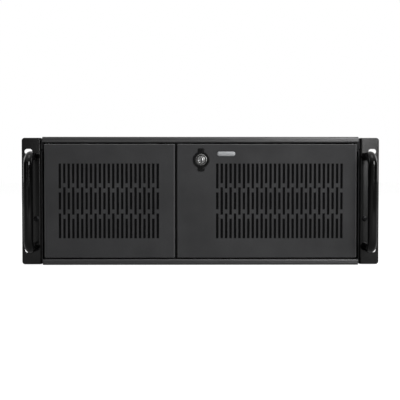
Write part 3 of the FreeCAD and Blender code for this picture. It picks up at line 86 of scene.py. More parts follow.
def wire(node, **sockets):
    """Sets or links a node's inputs, each by its name with _ for a space, or by _ and its number."""
    for key, value in sockets.items():
        name = int(key[1:]) if key[1:].isdigit() else key.replace("_", " ")
        if isinstance(value, bpy.types.NodeSocket):
            node.id_data.links.new(value, node.inputs[name])
        else:
            node.inputs[name].default_value = value


def add(tree, kind, settings=(), **sockets):
    """Adds a node; settings are its own properties, sockets its inputs."""
    node = tree.nodes.new(kind)
    for key, value in dict(settings).items():
        setattr(node, key, value)
    wire(node, **sockets)
    return node


def finish(name, **surface):
    """A new material with one surface shader, whose even values are set on the shader itself."""
    material = bpy.data.materials.new(name)
    material.use_nodes = True
    tree = material.node_tree
    tree.nodes.clear()
    shader = add(tree, "ShaderNodeBsdfPrincipled", **surface)
    add(tree, "ShaderNodeOutputMaterial", Surface=shader.outputs["BSDF"])
    place = add(tree, "ShaderNodeTexCoord").outputs["Object"]
    return material, tree, shader, place


def speckle(tree, place, size, **sockets):
    """A noise pattern whose blotches are this many metres across."""
    return add(tree, "ShaderNodeTexNoise", Vector=place, Scale=1 / size, **sockets).outputs["Fac"]


def stretched(tree, place, share):
    """The place squeezed along X, so that a pattern on it is drawn out into lines."""
    return add(tree, "ShaderNodeMapping", Vector=place, Scale=(share, 1.0, 1.0)).outputs["Vector"]


def combine(tree, operation, first, second):
    """Two numbers put together by a math node."""
    return add(tree, "ShaderNodeMath", {"operation": operation}, _0=first, _1=second).outputs[0]


def blend_tones(tree, share, first, second):
    """Two colours mixed, from the first at a share of 0 to the second at 1."""
    return add(tree, "ShaderNodeMix", {"data_type": "RGBA"}, _0=share, _6=first, _7=second).outputs[2]


def tone(tree, mask, low, high, start=0.0, end=1.0):
    """A colour that goes from one hex value to another as a pattern goes from start to end."""
    ramp = tree.nodes.new("ShaderNodeValToRGB")
    for element, position, code in zip(ramp.color_ramp.elements, (start, end), (low, high)):
        element.position = position
        element.color = linear(code)
    wire(ramp, Fac=mask)
    return ramp.outputs["Color"]


def spread(tree, mask, low, high):
    """A number that goes from low to high with a pattern."""
    return add(tree, "ShaderNodeMapRange", Value=mask, To_Min=low, To_Max=high).outputs["Result"]


def part_of(tree, mask, start, end):
    """A number that goes from 0 to 1 as a pattern goes from start to end."""
    return add(tree, "ShaderNodeMapRange", Value=mask, From_Min=start, From_Max=end).outputs["Result"]


def bump(tree, height, depth):
    """A surface relief of this depth in metres."""
    return add(tree, "ShaderNodeBump", Height=height, Distance=depth).outputs["Normal"]


def lean(tree):
    """How far the surface leans away from the object's axes, 0 on flat sheet, and how far it faces up."""
    facing = add(tree, "ShaderNodeTexCoord").outputs["Normal"]
    parts = add(tree, "ShaderNodeSeparateXYZ", Vector=facing).outputs
    x, y, z = (add(tree, "ShaderNodeMath", {"operation": "ABSOLUTE"}, _0=part).outputs[0] for part in parts)
    widest = combine(tree, "MAXIMUM", combine(tree, "MAXIMUM", x, y), z)
    return combine(tree, "SUBTRACT", 1.0, widest), parts["Z"]


# ---- finishes, each named for the real material and how its surface was made

def powder_coat(low, high, roughness):
    """Powder coat sprayed on sheet steel and baked: even, matt, with a fine dry grain."""
    material, tree, shader, place = finish("Powder_coated_sheet_steel", IOR=1.5, Specular_IOR_Level=0.2)
    # The real grain is about 0.15 mm; it is drawn coarser so that it still shows from a distance.
    grain = speckle(tree, place, 0.7 * MM, Detail=3.0, Roughness=0.6)
    # The film's thickness varies over some 40 mm, which shades a large panel very slightly.
    cloud = speckle(tree, place, 40 * MM, Detail=2.0)
    flat = tone(tree, combine(tree, "MULTIPLY", grain, cloud), low, high, 0.12, 0.42)
    # The powder draws back from bends, where it is thinner and flows out smoother; their paler tone is partly
    # that thinner coat and partly a painted highlight.
    leaning, upward = lean(tree)
    bend = part_of(tree, leaning, 0.02, 0.2)
    # Bends that face up are the palest: a painted highlight of the light from above.
    bend_and_top_highlight_tone = tone(tree, upward, "#505051", "#868687", 0.15, 0.5)
    dry = spread(tree, grain, roughness - 0.06, roughness + 0.06)
    wire(shader, Base_Color=blend_tones(tree, bend, flat, bend_and_top_highlight_tone),
         Roughness=combine(tree, "MULTIPLY", dry, spread(tree, bend, 1.0, 0.45)),
         Normal=bump(tree, grain, 0.05 * MM))
    return material


def rail_anodising():
    """Extruded aluminium dyed black and anodised: dark satin metal with faint lines along the rail."""
    material, tree, shader, place = finish("Black_anodised_extruded_aluminium", Metallic=0.9)
    # Die lines 0.4 mm apart, stretched fifty times along the rail.
    lines = speckle(tree, stretched(tree, place, 0.02), 0.4 * MM, Detail=2.0)
    wire(shader, Base_Color=tone(tree, lines, "#494949", "#545455", 0.3, 0.7),
         Roughness=spread(tree, lines, 0.42, 0.5), Normal=bump(tree, lines, 0.01 * MM))
    return material


def ear_enamel():
    """Stoved enamel on the rack ears: deep black with a satin sheen that fades away from the light."""
    material, tree, shader, place = finish("Stoved_enamel_on_bracket_steel", IOR=1.48,
                                           Specular_IOR_Level=0.35)
    # Orange peel: ripples 1.2 mm apart and a hundredth of a millimetre deep.
    peel = speckle(tree, place, 1.2 * MM, Detail=2.0)
    wire(shader, Base_Color=tone(tree, peel, "#0d0d0d", "#131313", 0.3, 0.7),
         Roughness=spread(tree, peel, 0.17, 0.25), Normal=bump(tree, peel, 0.01 * MM))
    return material


def handle_enamel():
    """Gloss enamel on bent steel bar: deep black with sharp, slightly wavy highlights."""
    material, tree, shader, place = finish("Gloss_enamelled_steel_bar", IOR=1.46, Specular_IOR_Level=0.25)
    # Orange peel: the paint's ripples are 1.5 mm apart and a few thousandths of a millimetre deep.
    peel = speckle(tree, place, 1.5 * MM, Detail=1.0)
    wire(shader, Base_Color=tone(tree, peel, "#040404", "#070707"),
         Roughness=spread(tree, peel, 0.05, 0.09), Normal=bump(tree, peel, 0.006 * MM))
    return material


def oxide_steel():
    """Steel screws blackened in a hot bath: nearly black metal with a soft oily sheen."""
    material, tree, shader, place = finish("Black_oxide_steel_headed", Metallic=1.0)
    # Blotches of thinner oxide some 0.8 mm across.
    blotch = speckle(tree, place, 0.8 * MM, Detail=3.0)
    wire(shader, Base_Color=tone(tree, blotch, "#1b1b1c", "#313132", 0.3, 0.75),
         Roughness=spread(tree, blotch, 0.32, 0.5))
    return material


def galvanised_steel():
    """Hot-dip galvanised sheet steel: pale grey zinc crystals that each catch the light differently."""
    material, tree, shader, place = finish("Galvanised_sheet_steel_rolled", Metallic=1.0)
    # Spangle of fine skin-passed sheet, crystals about 3 mm across.
    spangle = add(tree, "ShaderNodeTexVoronoi", Vector=place, Scale=1 / (3 * MM), Randomness=1.0)
    crystal = add(tree, "ShaderNodeSeparateColor", Color=spangle.outputs["Color"]).outputs
    fine = speckle(tree, place, 0.6 * MM, Detail=4.0)
    wire(shader, Base_Color=tone(tree, crystal["Red"], "#96999b", "#abaeb0"),
         Roughness=spread(tree, crystal["Green"], 0.38, 0.48), Normal=bump(tree, fine, 0.01 * MM))
    return material


def nickel_plate():
    """Nickel plate on turned brass: warm silver, with painted shade darkening its grooves."""
    material, tree, shader, place = finish("Nickel_plated_brass_turned", Metallic=1.0)
    fine = speckle(tree, place, 0.5 * MM, Detail=4.0, Roughness=0.7)
    plate = tone(tree, fine, "#8c8c8b", "#bebebd", 0.3, 0.7)
    # Painted shade: the grooves and the keyway turn near black wherever ambient occlusion finds a recess.
    deep = add(tree, "ShaderNodeAmbientOcclusion", {"samples": 6}, Distance=1.6 * MM)
    unshaded_share = part_of(tree, deep.outputs["AO"], 0.55, 0.95)
    wire(shader, Base_Color=blend_tones(tree, unshaded_share, linear("#0a0a0a"), plate),
         Roughness=spread(tree, fine, 0.34, 0.5), Normal=bump(tree, fine, 0.03 * MM))
    return material


def brass():
    """Turned brass, bare and a little tarnished: yellow with duller brown patches."""
    material, tree, shader, place = finish("Brass_turned", Metallic=1.0)
    # Tarnish in patches of 2 mm.
    stain = speckle(tree, place, 2 * MM, Detail=4.0)
    wire(shader, Base_Color=tone(tree, stain, "#a5803f", "#cda85c", 0.3, 0.7),
         Roughness=spread(tree, stain, 0.24, 0.4))
    return material


def moulded_plastic(name, low, high, roughness, pit_mm, gloss=0.5):
    """Injection-moulded plastic with a spark-eroded grain: even black with a soft sheen."""
    material, tree, shader, place = finish(name, IOR=1.53, Specular_IOR_Level=gloss)
    # The spark leaves shallow pits half a millimetre apart.
    pits = add(tree, "ShaderNodeTexVoronoi", Vector=place, Scale=1 / (0.5 * MM)).outputs["Distance"]
    wire(shader, Base_Color=tone(tree, pits, low, high),
         Roughness=spread(tree, pits, roughness - 0.05, roughness + 0.08),
         Normal=bump(tree, pits, pit_mm * MM))
    return material


def light_pipe():
    """Clear polycarbonate, moulded: glassy with a faint haze."""
    material, tree, shader, place = finish("Polycarbonate_clear_moulded", IOR=1.585, Transmission_Weight=0.85)
    haze = speckle(tree, place, 0.8 * MM, Detail=2.0)
    wire(shader, Base_Color=tone(tree, haze, "#d5d8da", "#f0f2f3"), Roughness=spread(tree, haze, 0.05, 0.14))
    return material


def foam_cells():
    """Open-celled polyurethane foam: soft black, with painted shade in the pores between its cells."""
    material, tree, shader, place = finish("Polyurethane_foam_open_celled", IOR=1.45, Specular_IOR_Level=0.08)
    # Cells of 30 to the inch, about 0.85 mm; the pores are darker as painted shade in their hollows, and the
    # struts slightly paler.
    cells = add(tree, "ShaderNodeTexVoronoi", {"feature": "DISTANCE_TO_EDGE"}, Vector=place,
                Scale=1 / (0.85 * MM)).outputs["Distance"]
    wire(shader, Base_Color=tone(tree, cells, "#0d0d0e", "#030303", 0.02, 0.3),
         Roughness=spread(tree, cells, 0.8, 0.95), Normal=bump(tree, cells, -0.4 * MM))
    return material


def solder_mask():
    """Glass-fibre laminate under green solder mask: glossy, with copper tracks showing as paler lines."""
    material, tree, shader, place = finish("Fibreglass_board_solder_masked", IOR=1.55)
    # Tracks on a 2.54 mm grid.
    tracks = add(tree, "ShaderNodeTexBrick", {"offset": 0.5}, Vector=place, Scale=1 / (2.54 * MM),
                 Mortar_Size=0.09, Brick_Width=3.0, Row_Height=1.0).outputs["Fac"]
    wire(shader, Base_Color=tone(tree, tracks, "#0d3a24", "#1c5a38"),
         Roughness=spread(tree, tracks, 0.25, 0.34), Normal=bump(tree, tracks, 0.03 * MM))
    return material


def ferrite():
    """Sintered ferrite magnet: dull charcoal ceramic with ground faces."""
    material, tree, shader, place = finish("Ferrite_sintered_ground", IOR=1.8)
    grit = speckle(tree, place, 0.3 * MM, Detail=5.0)
    wire(shader, Base_Color=tone(tree, grit, "#1c1d1f", "#34363a", 0.3, 0.7),
         Roughness=spread(tree, grit, 0.45, 0.65))
    return material


def brushed_aluminium():
    """Aluminium brushed along its length and clear anodised: a soft bright bar with hair lines."""
    material, tree, shader, place = finish("Aluminium_brushed_anodised", Metallic=1.0)
    # Hair lines 0.25 mm apart.
    hair = speckle(tree, stretched(tree, place, 0.03), 0.25 * MM, Detail=3.0)
    wire(shader, Base_Color=tone(tree, hair, "#8b8c8e", "#a5a6a8", 0.3, 0.7),
         Roughness=spread(tree, hair, 0.4, 0.55), Normal=bump(tree, hair, 0.01 * MM))
    return material


# ---- small tools for meshes

def stored(mesh, name="shape"):
    """Mesh data made from a bmesh, which is freed."""
    data = bpy.data.meshes.new(name)
    mesh.to_mesh(data)
    mesh.free()
    return data


def drawn(draw):
    """Mesh data from a function that draws into a bmesh."""
    mesh = bmesh.new()
    draw(mesh)
    bmesh.ops.recalc_face_normals(mesh, faces=mesh.faces)
    return stored(mesh)


def welded(node):
    """A bmesh of a CAD node with its corners joined, since CAD meshes come with them split."""
    mesh = bmesh.new()
    mesh.from_mesh(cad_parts[node].data)
    bmesh.ops.remove_doubles(mesh, verts=mesh.verts, dist=1e-6)
    return mesh


def solids(node):
    """The lowest and highest corner of each separate solid in a CAD node, in metres."""
    mesh = welded(node)
    boxes = []
    left = set(mesh.verts)
    while left:
        stack = [left.pop()]
        found = []
        while stack:
            vert = stack.pop()
            found.append(vert.co.copy())
            for bend_and_top_highlight_tone in vert.link_edges:
                other = bend_and_top_highlight_tone.other_vert(vert)
                if other in left:
                    left.remove(other)
                    stack.append(other)
        boxes.append((Vector(map(min, *found)), Vector(map(max, *found))))
    mesh.free()
    return sorted(boxes, key=lambda box: [round(c, 5) for c in box[0]])


def lathe(mesh, profile, sides, closed=False):
    """Turns a profile of (radius, height) about +Z; a third entry reshapes that ring by its angle."""
    rings = []
    for radius, height, *shape in profile:
        if radius < 1e-7:
            rings.append([mesh.verts.new((0, 0, height))])
            continue
        ring = []
        for i in range(sides):
            a = 2 * math.pi * i / sides
            r = shape[0](radius, i, a) if shape else radius
            ring.append(mesh.verts.new((r * math.cos(a), r * math.sin(a), height)))
        rings.append(ring)
    pairs = list(zip(rings, rings[1:])) + ([(rings[-1], rings[0])] if closed else [])
    for low, high in pairs:
        for i in range(sides):
            j = i + 1
            corners = [low[i % len(low)], low[j % len(low)], high[j % len(high)], high[i % len(high)]]
            mesh.faces.new(list(dict.fromkeys(corners)))


def knurl(depth):
    """Ring shape whose every other point is pulled in, as teeth rolled into a rim."""
    return lambda radius, i, angle: radius - (depth if i % 2 else 0.0)


def hexagonal(flats):
    """Ring shape that is cut to a hexagon of this width across its flats."""
    def shape(radius, i, angle):
        return min(radius, flats / 2 / math.cos((angle + math.pi / 6) % (math.pi / 3) - math.pi / 6))
    return shape


def thread(radius, depth, pitch, top, foot):
    """Profile points of a screw thread from one height down to another."""
    points = []
    z = top
    while z - pitch > foot:
        points += [(radius, z - 0.15 * pitch), (radius - depth, z - 0.65 * pitch)]
        z -= pitch
    return points


def threaded_shank(radius, depth, pitch, reach):
    """Profile points of a shank below z = 0, with a thread and a narrower tip."""
    return [(radius, 0.0)] + thread(radius, depth, pitch, 0.0, -reach) + [(radius * 0.6, -reach), (0, -reach)]


def prism(mesh, outline, low, high, taper=1.0):
    """A closed upright prism over an outline of (x, y) points, with its foot drawn in by a share."""
    floor = [mesh.verts.new((x * taper, y * taper, low)) for x, y in outline]
    roof = [mesh.verts.new((x, y, high)) for x, y in outline]
    mesh.faces.new(floor[::-1])
    mesh.faces.new(roof)
    for i in range(len(outline)):
        j = (i + 1) % len(outline)
        mesh.faces.new([floor[i], floor[j], roof[j], roof[i]])


def oblong(width, height):
    """The outline of a rectangle about the origin."""
    x, y = width / 2, height / 2
    return [(-x, -y), (x, -y), (x, y), (-x, y)]


def cut(body, tool):
    """The first form less the second, both given as functions that draw into a bmesh."""
    pieces = [bpy.data.objects.new("cut", drawn(draw)) for draw in (body, tool)]
    for piece in pieces:
        bpy.context.collection.objects.link(piece)
    modifier = pieces[0].modifiers.new("cut", "BOOLEAN")
    modifier.operation = "DIFFERENCE"
    modifier.solver = "EXACT"
    modifier.object = pieces[1]
    shape = pieces[0].evaluated_get(bpy.context.evaluated_depsgraph_get())
    result = bpy.data.meshes.new_from_object(shape)
    for piece in pieces:
        data = piece.data
        bpy.data.objects.remove(piece)
        bpy.data.meshes.remove(data)
    if not result.polygons:
        raise RuntimeError("a cut left nothing of its piece")
    return result


def make_piece(name, meshes, body, slot, replaced=(), smooth_angle=35, look=None):
    """One object from placed meshes, each (mesh data, matrix), that rides on a body.

    Edges bent by less than smooth_angle degrees are shaded smooth; look is a finish other than the slot's."""
    whole = bmesh.new()
    for data, matrix in meshes:
        placed = data.copy()
        placed.transform(matrix)
        whole.from_mesh(placed)
        bpy.data.meshes.remove(placed)
    bmesh.ops.recalc_face_normals(whole, faces=whole.faces)
    data = stored(whole, name)
    data.shade_smooth()
    data.set_sharp_from_angle(angle=math.radians(smooth_angle))
    piece = bpy.data.objects.new(name, data)
    bpy.context.collection.objects.link(piece)
    data.materials.append(FINISHES[look or slot])
    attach(piece, body)
    if replaced:
        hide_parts(*replaced)
    return piece


def facing(origin, way):
    """A matrix that stands a piece built about +Z at a place, with its +Z along the way given."""
    return Matrix.Translation(origin) @ Vector(way).to_track_quat("Z", "Y").to_matrix().to_4x4()


def spun(angle):
    """A turn about +Z, in radians, since no two screws stop at the same angle."""
    return Matrix.Rotation(angle, 4, "Z")


# ---- screws, foam and other small hardware

def pan_head(radius, height, shank, reach):
    """A domed screw head over a threaded shank, with a cross recess; the head stands on z = 0."""
    steps = [math.radians(angle) for angle in (70, 56, 42, 28, 14, 0)]
    crown = [(radius * math.cos(a), height * (0.35 + 0.65 * math.sin(a))) for a in steps]
    profile = [(0, height)] + crown + [(radius, 0.0)]
    profile += threaded_shank(shank, 0.14 * shank, 0.7 * MM, reach)
    return cut(lambda mesh: lathe(mesh, profile, 28), cross_recess(radius, height))


def cross_recess(radius, height):
    """The tapered cross that a screwdriver fits, as a shape to cut from a head."""
    arm = radius * 0.56
    half = radius * 0.13
    corner = [(arm, -half), (arm, half), (half, half)]
    quarters = ((1, 0), (0, 1), (-1, 0), (0, -1))
    outline = [(x * c - y * s, x * s + y * c) for c, s in quarters for x, y in corner]
    return lambda mesh: prism(mesh, outline, height * 0.25, height * 1.2, 0.45)


def hex_head(flats, height, reach):
    """A hexagon screw head with a pressed washer, a cross recess and a threaded shank below z = 0."""
    hexagon = hexagonal(flats)
    corners = flats / 2 / math.cos(math.pi / 6)
    shank = flats * 0.24
    profile = [(0, height), (flats * 0.42, height), (flats * 0.5, height * 0.9, hexagon),
               (corners, height * 0.72, hexagon), (corners, height * 0.3, hexagon),
               (corners, height * 0.22), (corners, 0.0)]
    profile += threaded_shank(shank, 0.14 * shank, 0.7 * MM, reach)
    return cut(lambda mesh: lathe(mesh, profile, 36), cross_recess(flats * 0.5, height))


def thumbscrew(radius, length, shank, reach):
    """A captive screw with a knurled head, a turned waist and a slot; the head stands on z = 0."""
    teeth = knurl(0.35 * MM)
    waist = radius - 1.0 * MM
    profile = [(0, length), (radius * 0.5, length), (waist, length),
               (radius - 0.35 * MM, length - 0.3 * MM), (radius, length - 0.9 * MM, teeth),
               (radius, length * 0.5, teeth), (radius, 1.9 * MM, teeth),
               (radius - 0.4 * MM, 1.4 * MM), (waist, 1.1 * MM), (waist, 0.0)]
    profile += threaded_shank(shank, 0.3 * MM, 0.8 * MM, reach)
    slit = oblong(4 * radius, 1.2 * MM)
    return cut(lambda mesh: lathe(mesh, profile, 64),
               lambda mesh: prism(mesh, slit, length - 1.4 * MM, length + MM))


def screw_row(node, axis, way_of, head):
    """Pan-head screws in the places and sizes of a CAD node's screws.

    way_of gives 1 or -1 for the way along the axis that the screw at a place faces; head is in metres."""
    placed = []
    heads = {}
    for low, high in solids(node):
        size = high - low
        middle = (low + high) / 2
        radius = min(size[i] for i in range(3) if i != axis) / 2
        way = way_of(middle)
        origin = middle.copy()
        origin[axis] = (high if way > 0 else low)[axis] - way * head
        direction = Vector((0, 0, 0))
        direction[axis] = way
        key = round(radius, 5)
        if key not in heads:
            heads[key] = pan_head(radius, head, radius * 0.5, size[axis] - head)
        placed.append((heads[key], facing(origin, direction) @ spun(0.4 + 1.3 * len(placed))))
    return placed


def rounded_copy(node, width, segments):
    """Mesh data of a CAD node with the sharp edges of its front face rounded."""
    flat, sharp_angle, slack = math.radians(0.5), math.radians(50), 0.02 * MM
    mesh = welded(node)
    bmesh.ops.dissolve_limit(mesh, angle_limit=flat, verts=mesh.verts, edges=mesh.edges)
    sharp = [bend_and_top_highlight_tone for bend_and_top_highlight_tone in mesh.edges if bend_and_top_highlight_tone.is_manifold and bend_and_top_highlight_tone.calc_face_angle() > sharp_angle]
    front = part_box(node)[0].y + slack
    chosen = [bend_and_top_highlight_tone for bend_and_top_highlight_tone in sharp if all(vert.co.y < front for vert in bend_and_top_highlight_tone.verts)]
    if not chosen:
        raise RuntimeError("no edge to round on " + node)
    bmesh.ops.bevel(mesh, geom=chosen, offset=width, segments=segments, profile=0.5, affect="EDGES",
                    clamp_overlap=True)
    bmesh.ops.triangulate(mesh, faces=[face for face in mesh.faces if len(face.verts) > 4])
    return stored(mesh)


def foam_pad(low, high, cell):
    """A foam pad whose faces are pitted by open cells; it stays inside the box of its CAD solid."""
    pore, pit_depth, wander, skin, rim_depth = 2.1 * MM, 0.9 * MM, 0.12 * MM, 0.05 * MM, 0.6 * MM
    # A pit reaches three quarters of a pore from its centre.
    pit_reach = 0.75
    mesh = bmesh.new()
    size = high - low
    columns = int(size.x / cell)
    rows = int(size.z / cell)

    def pitted(face_y, inward):
        grid = []
        for j in range(rows + 1):
            line = []
            for i in range(columns + 1):
                x = low.x + size.x * i / columns
                z = low.z + size.z * j / rows
                # The outermost points are cut edges: they lie deeper and neither pit nor wander.
                bend_and_top_highlight_tone = min(i, columns - i, j, rows - j)
                spot = Vector((x, face_y, z)) / pore
                near = noise.voronoi(spot, distance_metric="DISTANCE", exponent=2.5)[0][0]
                pit = max(0.0, pit_reach - near) * pit_depth if bend_and_top_highlight_tone else rim_depth
                drift = noise.noise_vector(spot * 1.7) * (wander if bend_and_top_highlight_tone > 1 else 0.0)
                line.append(mesh.verts.new((x + drift.x, face_y + inward * (skin + pit), z + drift.z)))
            grid.append(line)
        for j in range(rows):
            for i in range(columns):
                mesh.faces.new([grid[j][i], grid[j][i + 1], grid[j + 1][i + 1], grid[j + 1][i]])
        right, left = [line[-1] for line in grid[:-1]], [line[0] for line in grid[:0:-1]]
        return grid[0][:-1] + right + grid[-1][:0:-1] + left

    front, back = pitted(low.y, 1), pitted(high.y, -1)
    for i in range(len(front)):
        j = (i + 1) % len(front)
        mesh.faces.new([front[i], front[j], back[j], back[i]])
    bmesh.ops.recalc_face_normals(mesh, faces=mesh.faces)
    return stored(mesh)


# ---- sizes and colours that a user would change

class CaseColours(bpy.types.PropertyGroup):
    """Colours and sheens of the case."""
    coat_low: bpy.props.StringProperty(
        name="Coat shade", description="Darker tone of the powder coat, hex", default="#2e2e2f")
    coat_high: bpy.props.StringProperty(
        name="Coat tone", description="Paler tone of the powder coat, hex", default="#373738")
    coat_roughness: bpy.props.FloatProperty(
        name="Coat roughness", description="Roughness of the powder coat",
        default=0.75, min=0.1, max=1.0, subtype="FACTOR")


class CaseSizes(bpy.types.PropertyGroup):
    """Sizes of the small pieces."""
    foam_cell: bpy.props.FloatProperty(
        name="Foam grid", description="Grid over the foam's faces",
        default=1.05 * MM, min=0.5 * MM, max=4 * MM, unit="LENGTH", precision=5)
    rail_corner: bpy.props.FloatProperty(
        name="Rail corner", description="Radius of the rails' front corners",
        default=1.6 * MM, min=0.3 * MM, max=2.5 * MM, unit="LENGTH", precision=5)
    badge_edge: bpy.props.FloatProperty(
        name="Badge edge", description="Radius of the badge's front edge",
        default=0.7 * MM, min=0.1 * MM, max=0.8 * MM, unit="LENGTH", precision=5)
    rivet_radius: bpy.props.FloatProperty(
        name="Rivet radius", description="Radius of a blind rivet's head",
        default=2.6 * MM, min=1 * MM, max=5 * MM, unit="LENGTH", precision=5)
    rivet_height: bpy.props.FloatProperty(
        name="Rivet height", description="Height of a blind rivet's head",
        default=0.8 * MM, min=0.2 * MM, max=2 * MM, unit="LENGTH", precision=5)


class StudioLight(bpy.types.PropertyGroup):
    """Strengths of the lamps and the surroundings."""
    key_power: bpy.props.FloatProperty(
        name="Key", description="Softbox in front, to the right and a little above",
        default=10.9, min=0.0, unit="POWER")
    top_power: bpy.props.FloatProperty(
        name="Top", description="Large softbox overhead", default=4.5, min=0.0, unit="POWER")
    side_power: bpy.props.FloatProperty(
        name="Sides", description="Each softbox beside the case", default=4.0, min=0.0, unit="POWER")
    rear_power: bpy.props.FloatProperty(
        name="Rear", description="Softbox behind and above", default=6.0, min=0.0, unit="POWER")
    left_strip_power: bpy.props.FloatProperty(
        name="Left strip", description="Thin tall lamp in front, left", default=0.4, min=0.0, unit="POWER")
    right_strip_power: bpy.props.FloatProperty(
        name="Right strip", description="Thin tall lamp in front, right", default=0.9, min=0.0, unit="POWER")
    fill: bpy.props.FloatProperty(
        name="Fill", description="Even light from all round", default=0.42, min=0.0)
    lens: bpy.props.FloatProperty(
        name="Lens", description="Focal length", default=51.58, min=10, unit="CAMERA")


class CASE_OT_finishes(bpy.types.Operator):
    """Makes each finish and puts it on the CAD pieces"""
    bl_idname = "case.finishes"
    bl_label = "Finishes"

    def execute(self, context):
        colours = context.scene.case_colours
        FINISHES.update({
            "black_powder_coat": powder_coat(colours.coat_low, colours.coat_high, colours.coat_roughness),
            "black_rail_coat": rail_anodising(),
            "black_gloss_coat": handle_enamel(),
            "black_oxide_steel": oxide_steel(),
            "galvanised_steel": galvanised_steel(),
            "nickel_plate": nickel_plate(),
            "brass": brass(),
            "black_plastic": moulded_plastic("ABS_black_moulded", "#141415", "#1b1b1c", 0.45, 0.02),
            "button_plastic": moulded_plastic("ABS_button_polished", "#101011", "#18181a", 0.28, 0.005),
            "clear_light_pipe": light_pipe(),
            "filter_foam": foam_cells(),
            "circuit_board": solder_mask(),
            "ferrite": ferrite(),
            "badge_aluminium": brushed_aluminium(),
            "ear_coat": ear_enamel(),
            "trim_plastic": moulded_plastic("ABS_trim_polished", "#050505", "#080808", 0.28, 0.003, 0.2),
        })
        for name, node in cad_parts.items():
            for slot in node.material_slots:
                slot.material = FINISHES["ear_coat" if name.startswith("ear_") else slot.material.name]
        return {"FINISHED"}


class CASE_OT_foam(bpy.types.Operator):
    """Dust filters of open-celled foam behind the doors' slots"""
    bl_idname = "case.foam"
    bl_label = "Filter foam"

    def execute(self, context):
        cell = context.scene.case_sizes.foam_cell
        for side in ("left", "right"):
            low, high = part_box(side + "_filter")
            pad = make_piece(side + "_filter_foam", [(foam_pad(low, high, cell), Matrix())],
                             side + "_door", "filter_foam", [side + "_filter"], 180)
        return {"FINISHED"}


class CASE_OT_screws(bpy.types.Operator):
    """Pan-head screws with cross recesses"""
    bl_idname = "case.screws"
    bl_label = "Pan-head screws"

    def execute(self, context):
        # CAD node, its screws' axis, the way that their heads face, head height in mm, body and slot
        rows = [("ear_screws", 0, lambda at: 1 if at.x > 0 else -1, 2.2, "chassis", "black_oxide_steel"),
                ("ear_face_screws", 1, lambda at: -1, 2.2, "chassis", "black_oxide_steel"),
                ("handle_screws", 1, lambda at: 1, 3.0, "chassis", "black_oxide_steel"),
                ("guard_screws", 1, lambda at: 1, 2.0, "chassis", "black_oxide_steel"),
                ("lock_cam_screw", 1, lambda at: 1, 2.0, "lock_plug", "galvanised_steel")]
        for node, axis, way_of, head, body, slot in rows:
            make_piece(node + "_crossed", screw_row(node, axis, way_of, head * MM), body, slot, [node])
        return {"FINISHED"}


class CASE_OT_rails(bpy.types.Operator):
    """Extruded rails above and below the doors, with a flat grooved nose and rounded corners"""
    bl_idname = "case.rails"
    bl_label = "Door rails"

    def execute(self, context):
        radius = context.scene.case_sizes.rail_corner
        groove, groove_depth, nose, overlap = 0.8 * MM, 0.6 * MM, 9.0 * MM, 0.1 * MM
        # How much of the CAD rail counts as its back and as its nose, and the points on a rounded corner.
        back_skin, nose_reach, turns = 0.1 * MM, 3.5 * MM, [18 * i for i in range(6)]
        for side in ("top", "bottom"):
            node = side + "_rail"
            low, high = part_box(node)
            corners = [vert.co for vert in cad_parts[node].data.vertices]
            # The tongue keeps the CAD rail's section where that rail ends at the back.
            behind = [at for at in corners if at.y > high.y - back_skin]
            left, right = (Vector(map(pick, *behind)) for pick in (min, max))
            # The nose keeps its height at the front.
            front = [at.z for at in corners if at.y < low.y + nose_reach]
            bottom, top = min(front), max(front)
            middle = (bottom + top) / 2

            # The nose's section as (y, z): lower corner, groove, upper corner, back.
            section = [self.corner(low.y + radius, bottom + radius, radius, 270 - turn) for turn in turns]
            section += [(low.y, middle - groove / 2), (low.y + groove_depth, middle - groove / 2),
                        (low.y + groove_depth, middle + groove / 2), (low.y, middle + groove / 2)]
            section += [self.corner(low.y + radius, top - radius, radius, 180 - turn) for turn in turns]
            section += [(low.y + nose, top), (low.y + nose, bottom)]
            tongue = [(left.x, low.y + nose - overlap), (right.x, low.y + nose - overlap),
                      (right.x, high.y), (left.x, high.y)]

            # Lays a prism over (x, y) down along X, with its outline in (y, z).
            along_x = Matrix(((0, 0, 1, 0), (1, 0, 0, 0), (0, 1, 0, 0), (0, 0, 0, 1)))
            make_piece(node + "_extruded",
                       [(drawn(lambda mesh: prism(mesh, section, low.x, high.x)), along_x),
                        (drawn(lambda mesh: prism(mesh, tongue, left.z, right.z)), Matrix())],
                       "chassis", "black_rail_coat", [node], 25)
        return {"FINISHED"}

    @staticmethod
    def corner(y, z, radius, angle):
        """A point on a rounded corner about (y, z), at an angle in degrees."""
        a = math.radians(angle)
        return y + radius * math.cos(a), z + radius * math.sin(a)


class CASE_OT_badge(bpy.types.Operator):
    """The bare badge, with edges pressed round"""
    bl_idname = "case.badge"
    bl_label = "Badge"

    def execute(self, context):
        badge = rounded_copy("badge", context.scene.case_sizes.badge_edge, 4)
        make_piece("badge_pillowed", [(badge, Matrix())], "right_door", "badge_aluminium", ["badge"], 40)
        return {"FINISHED"}


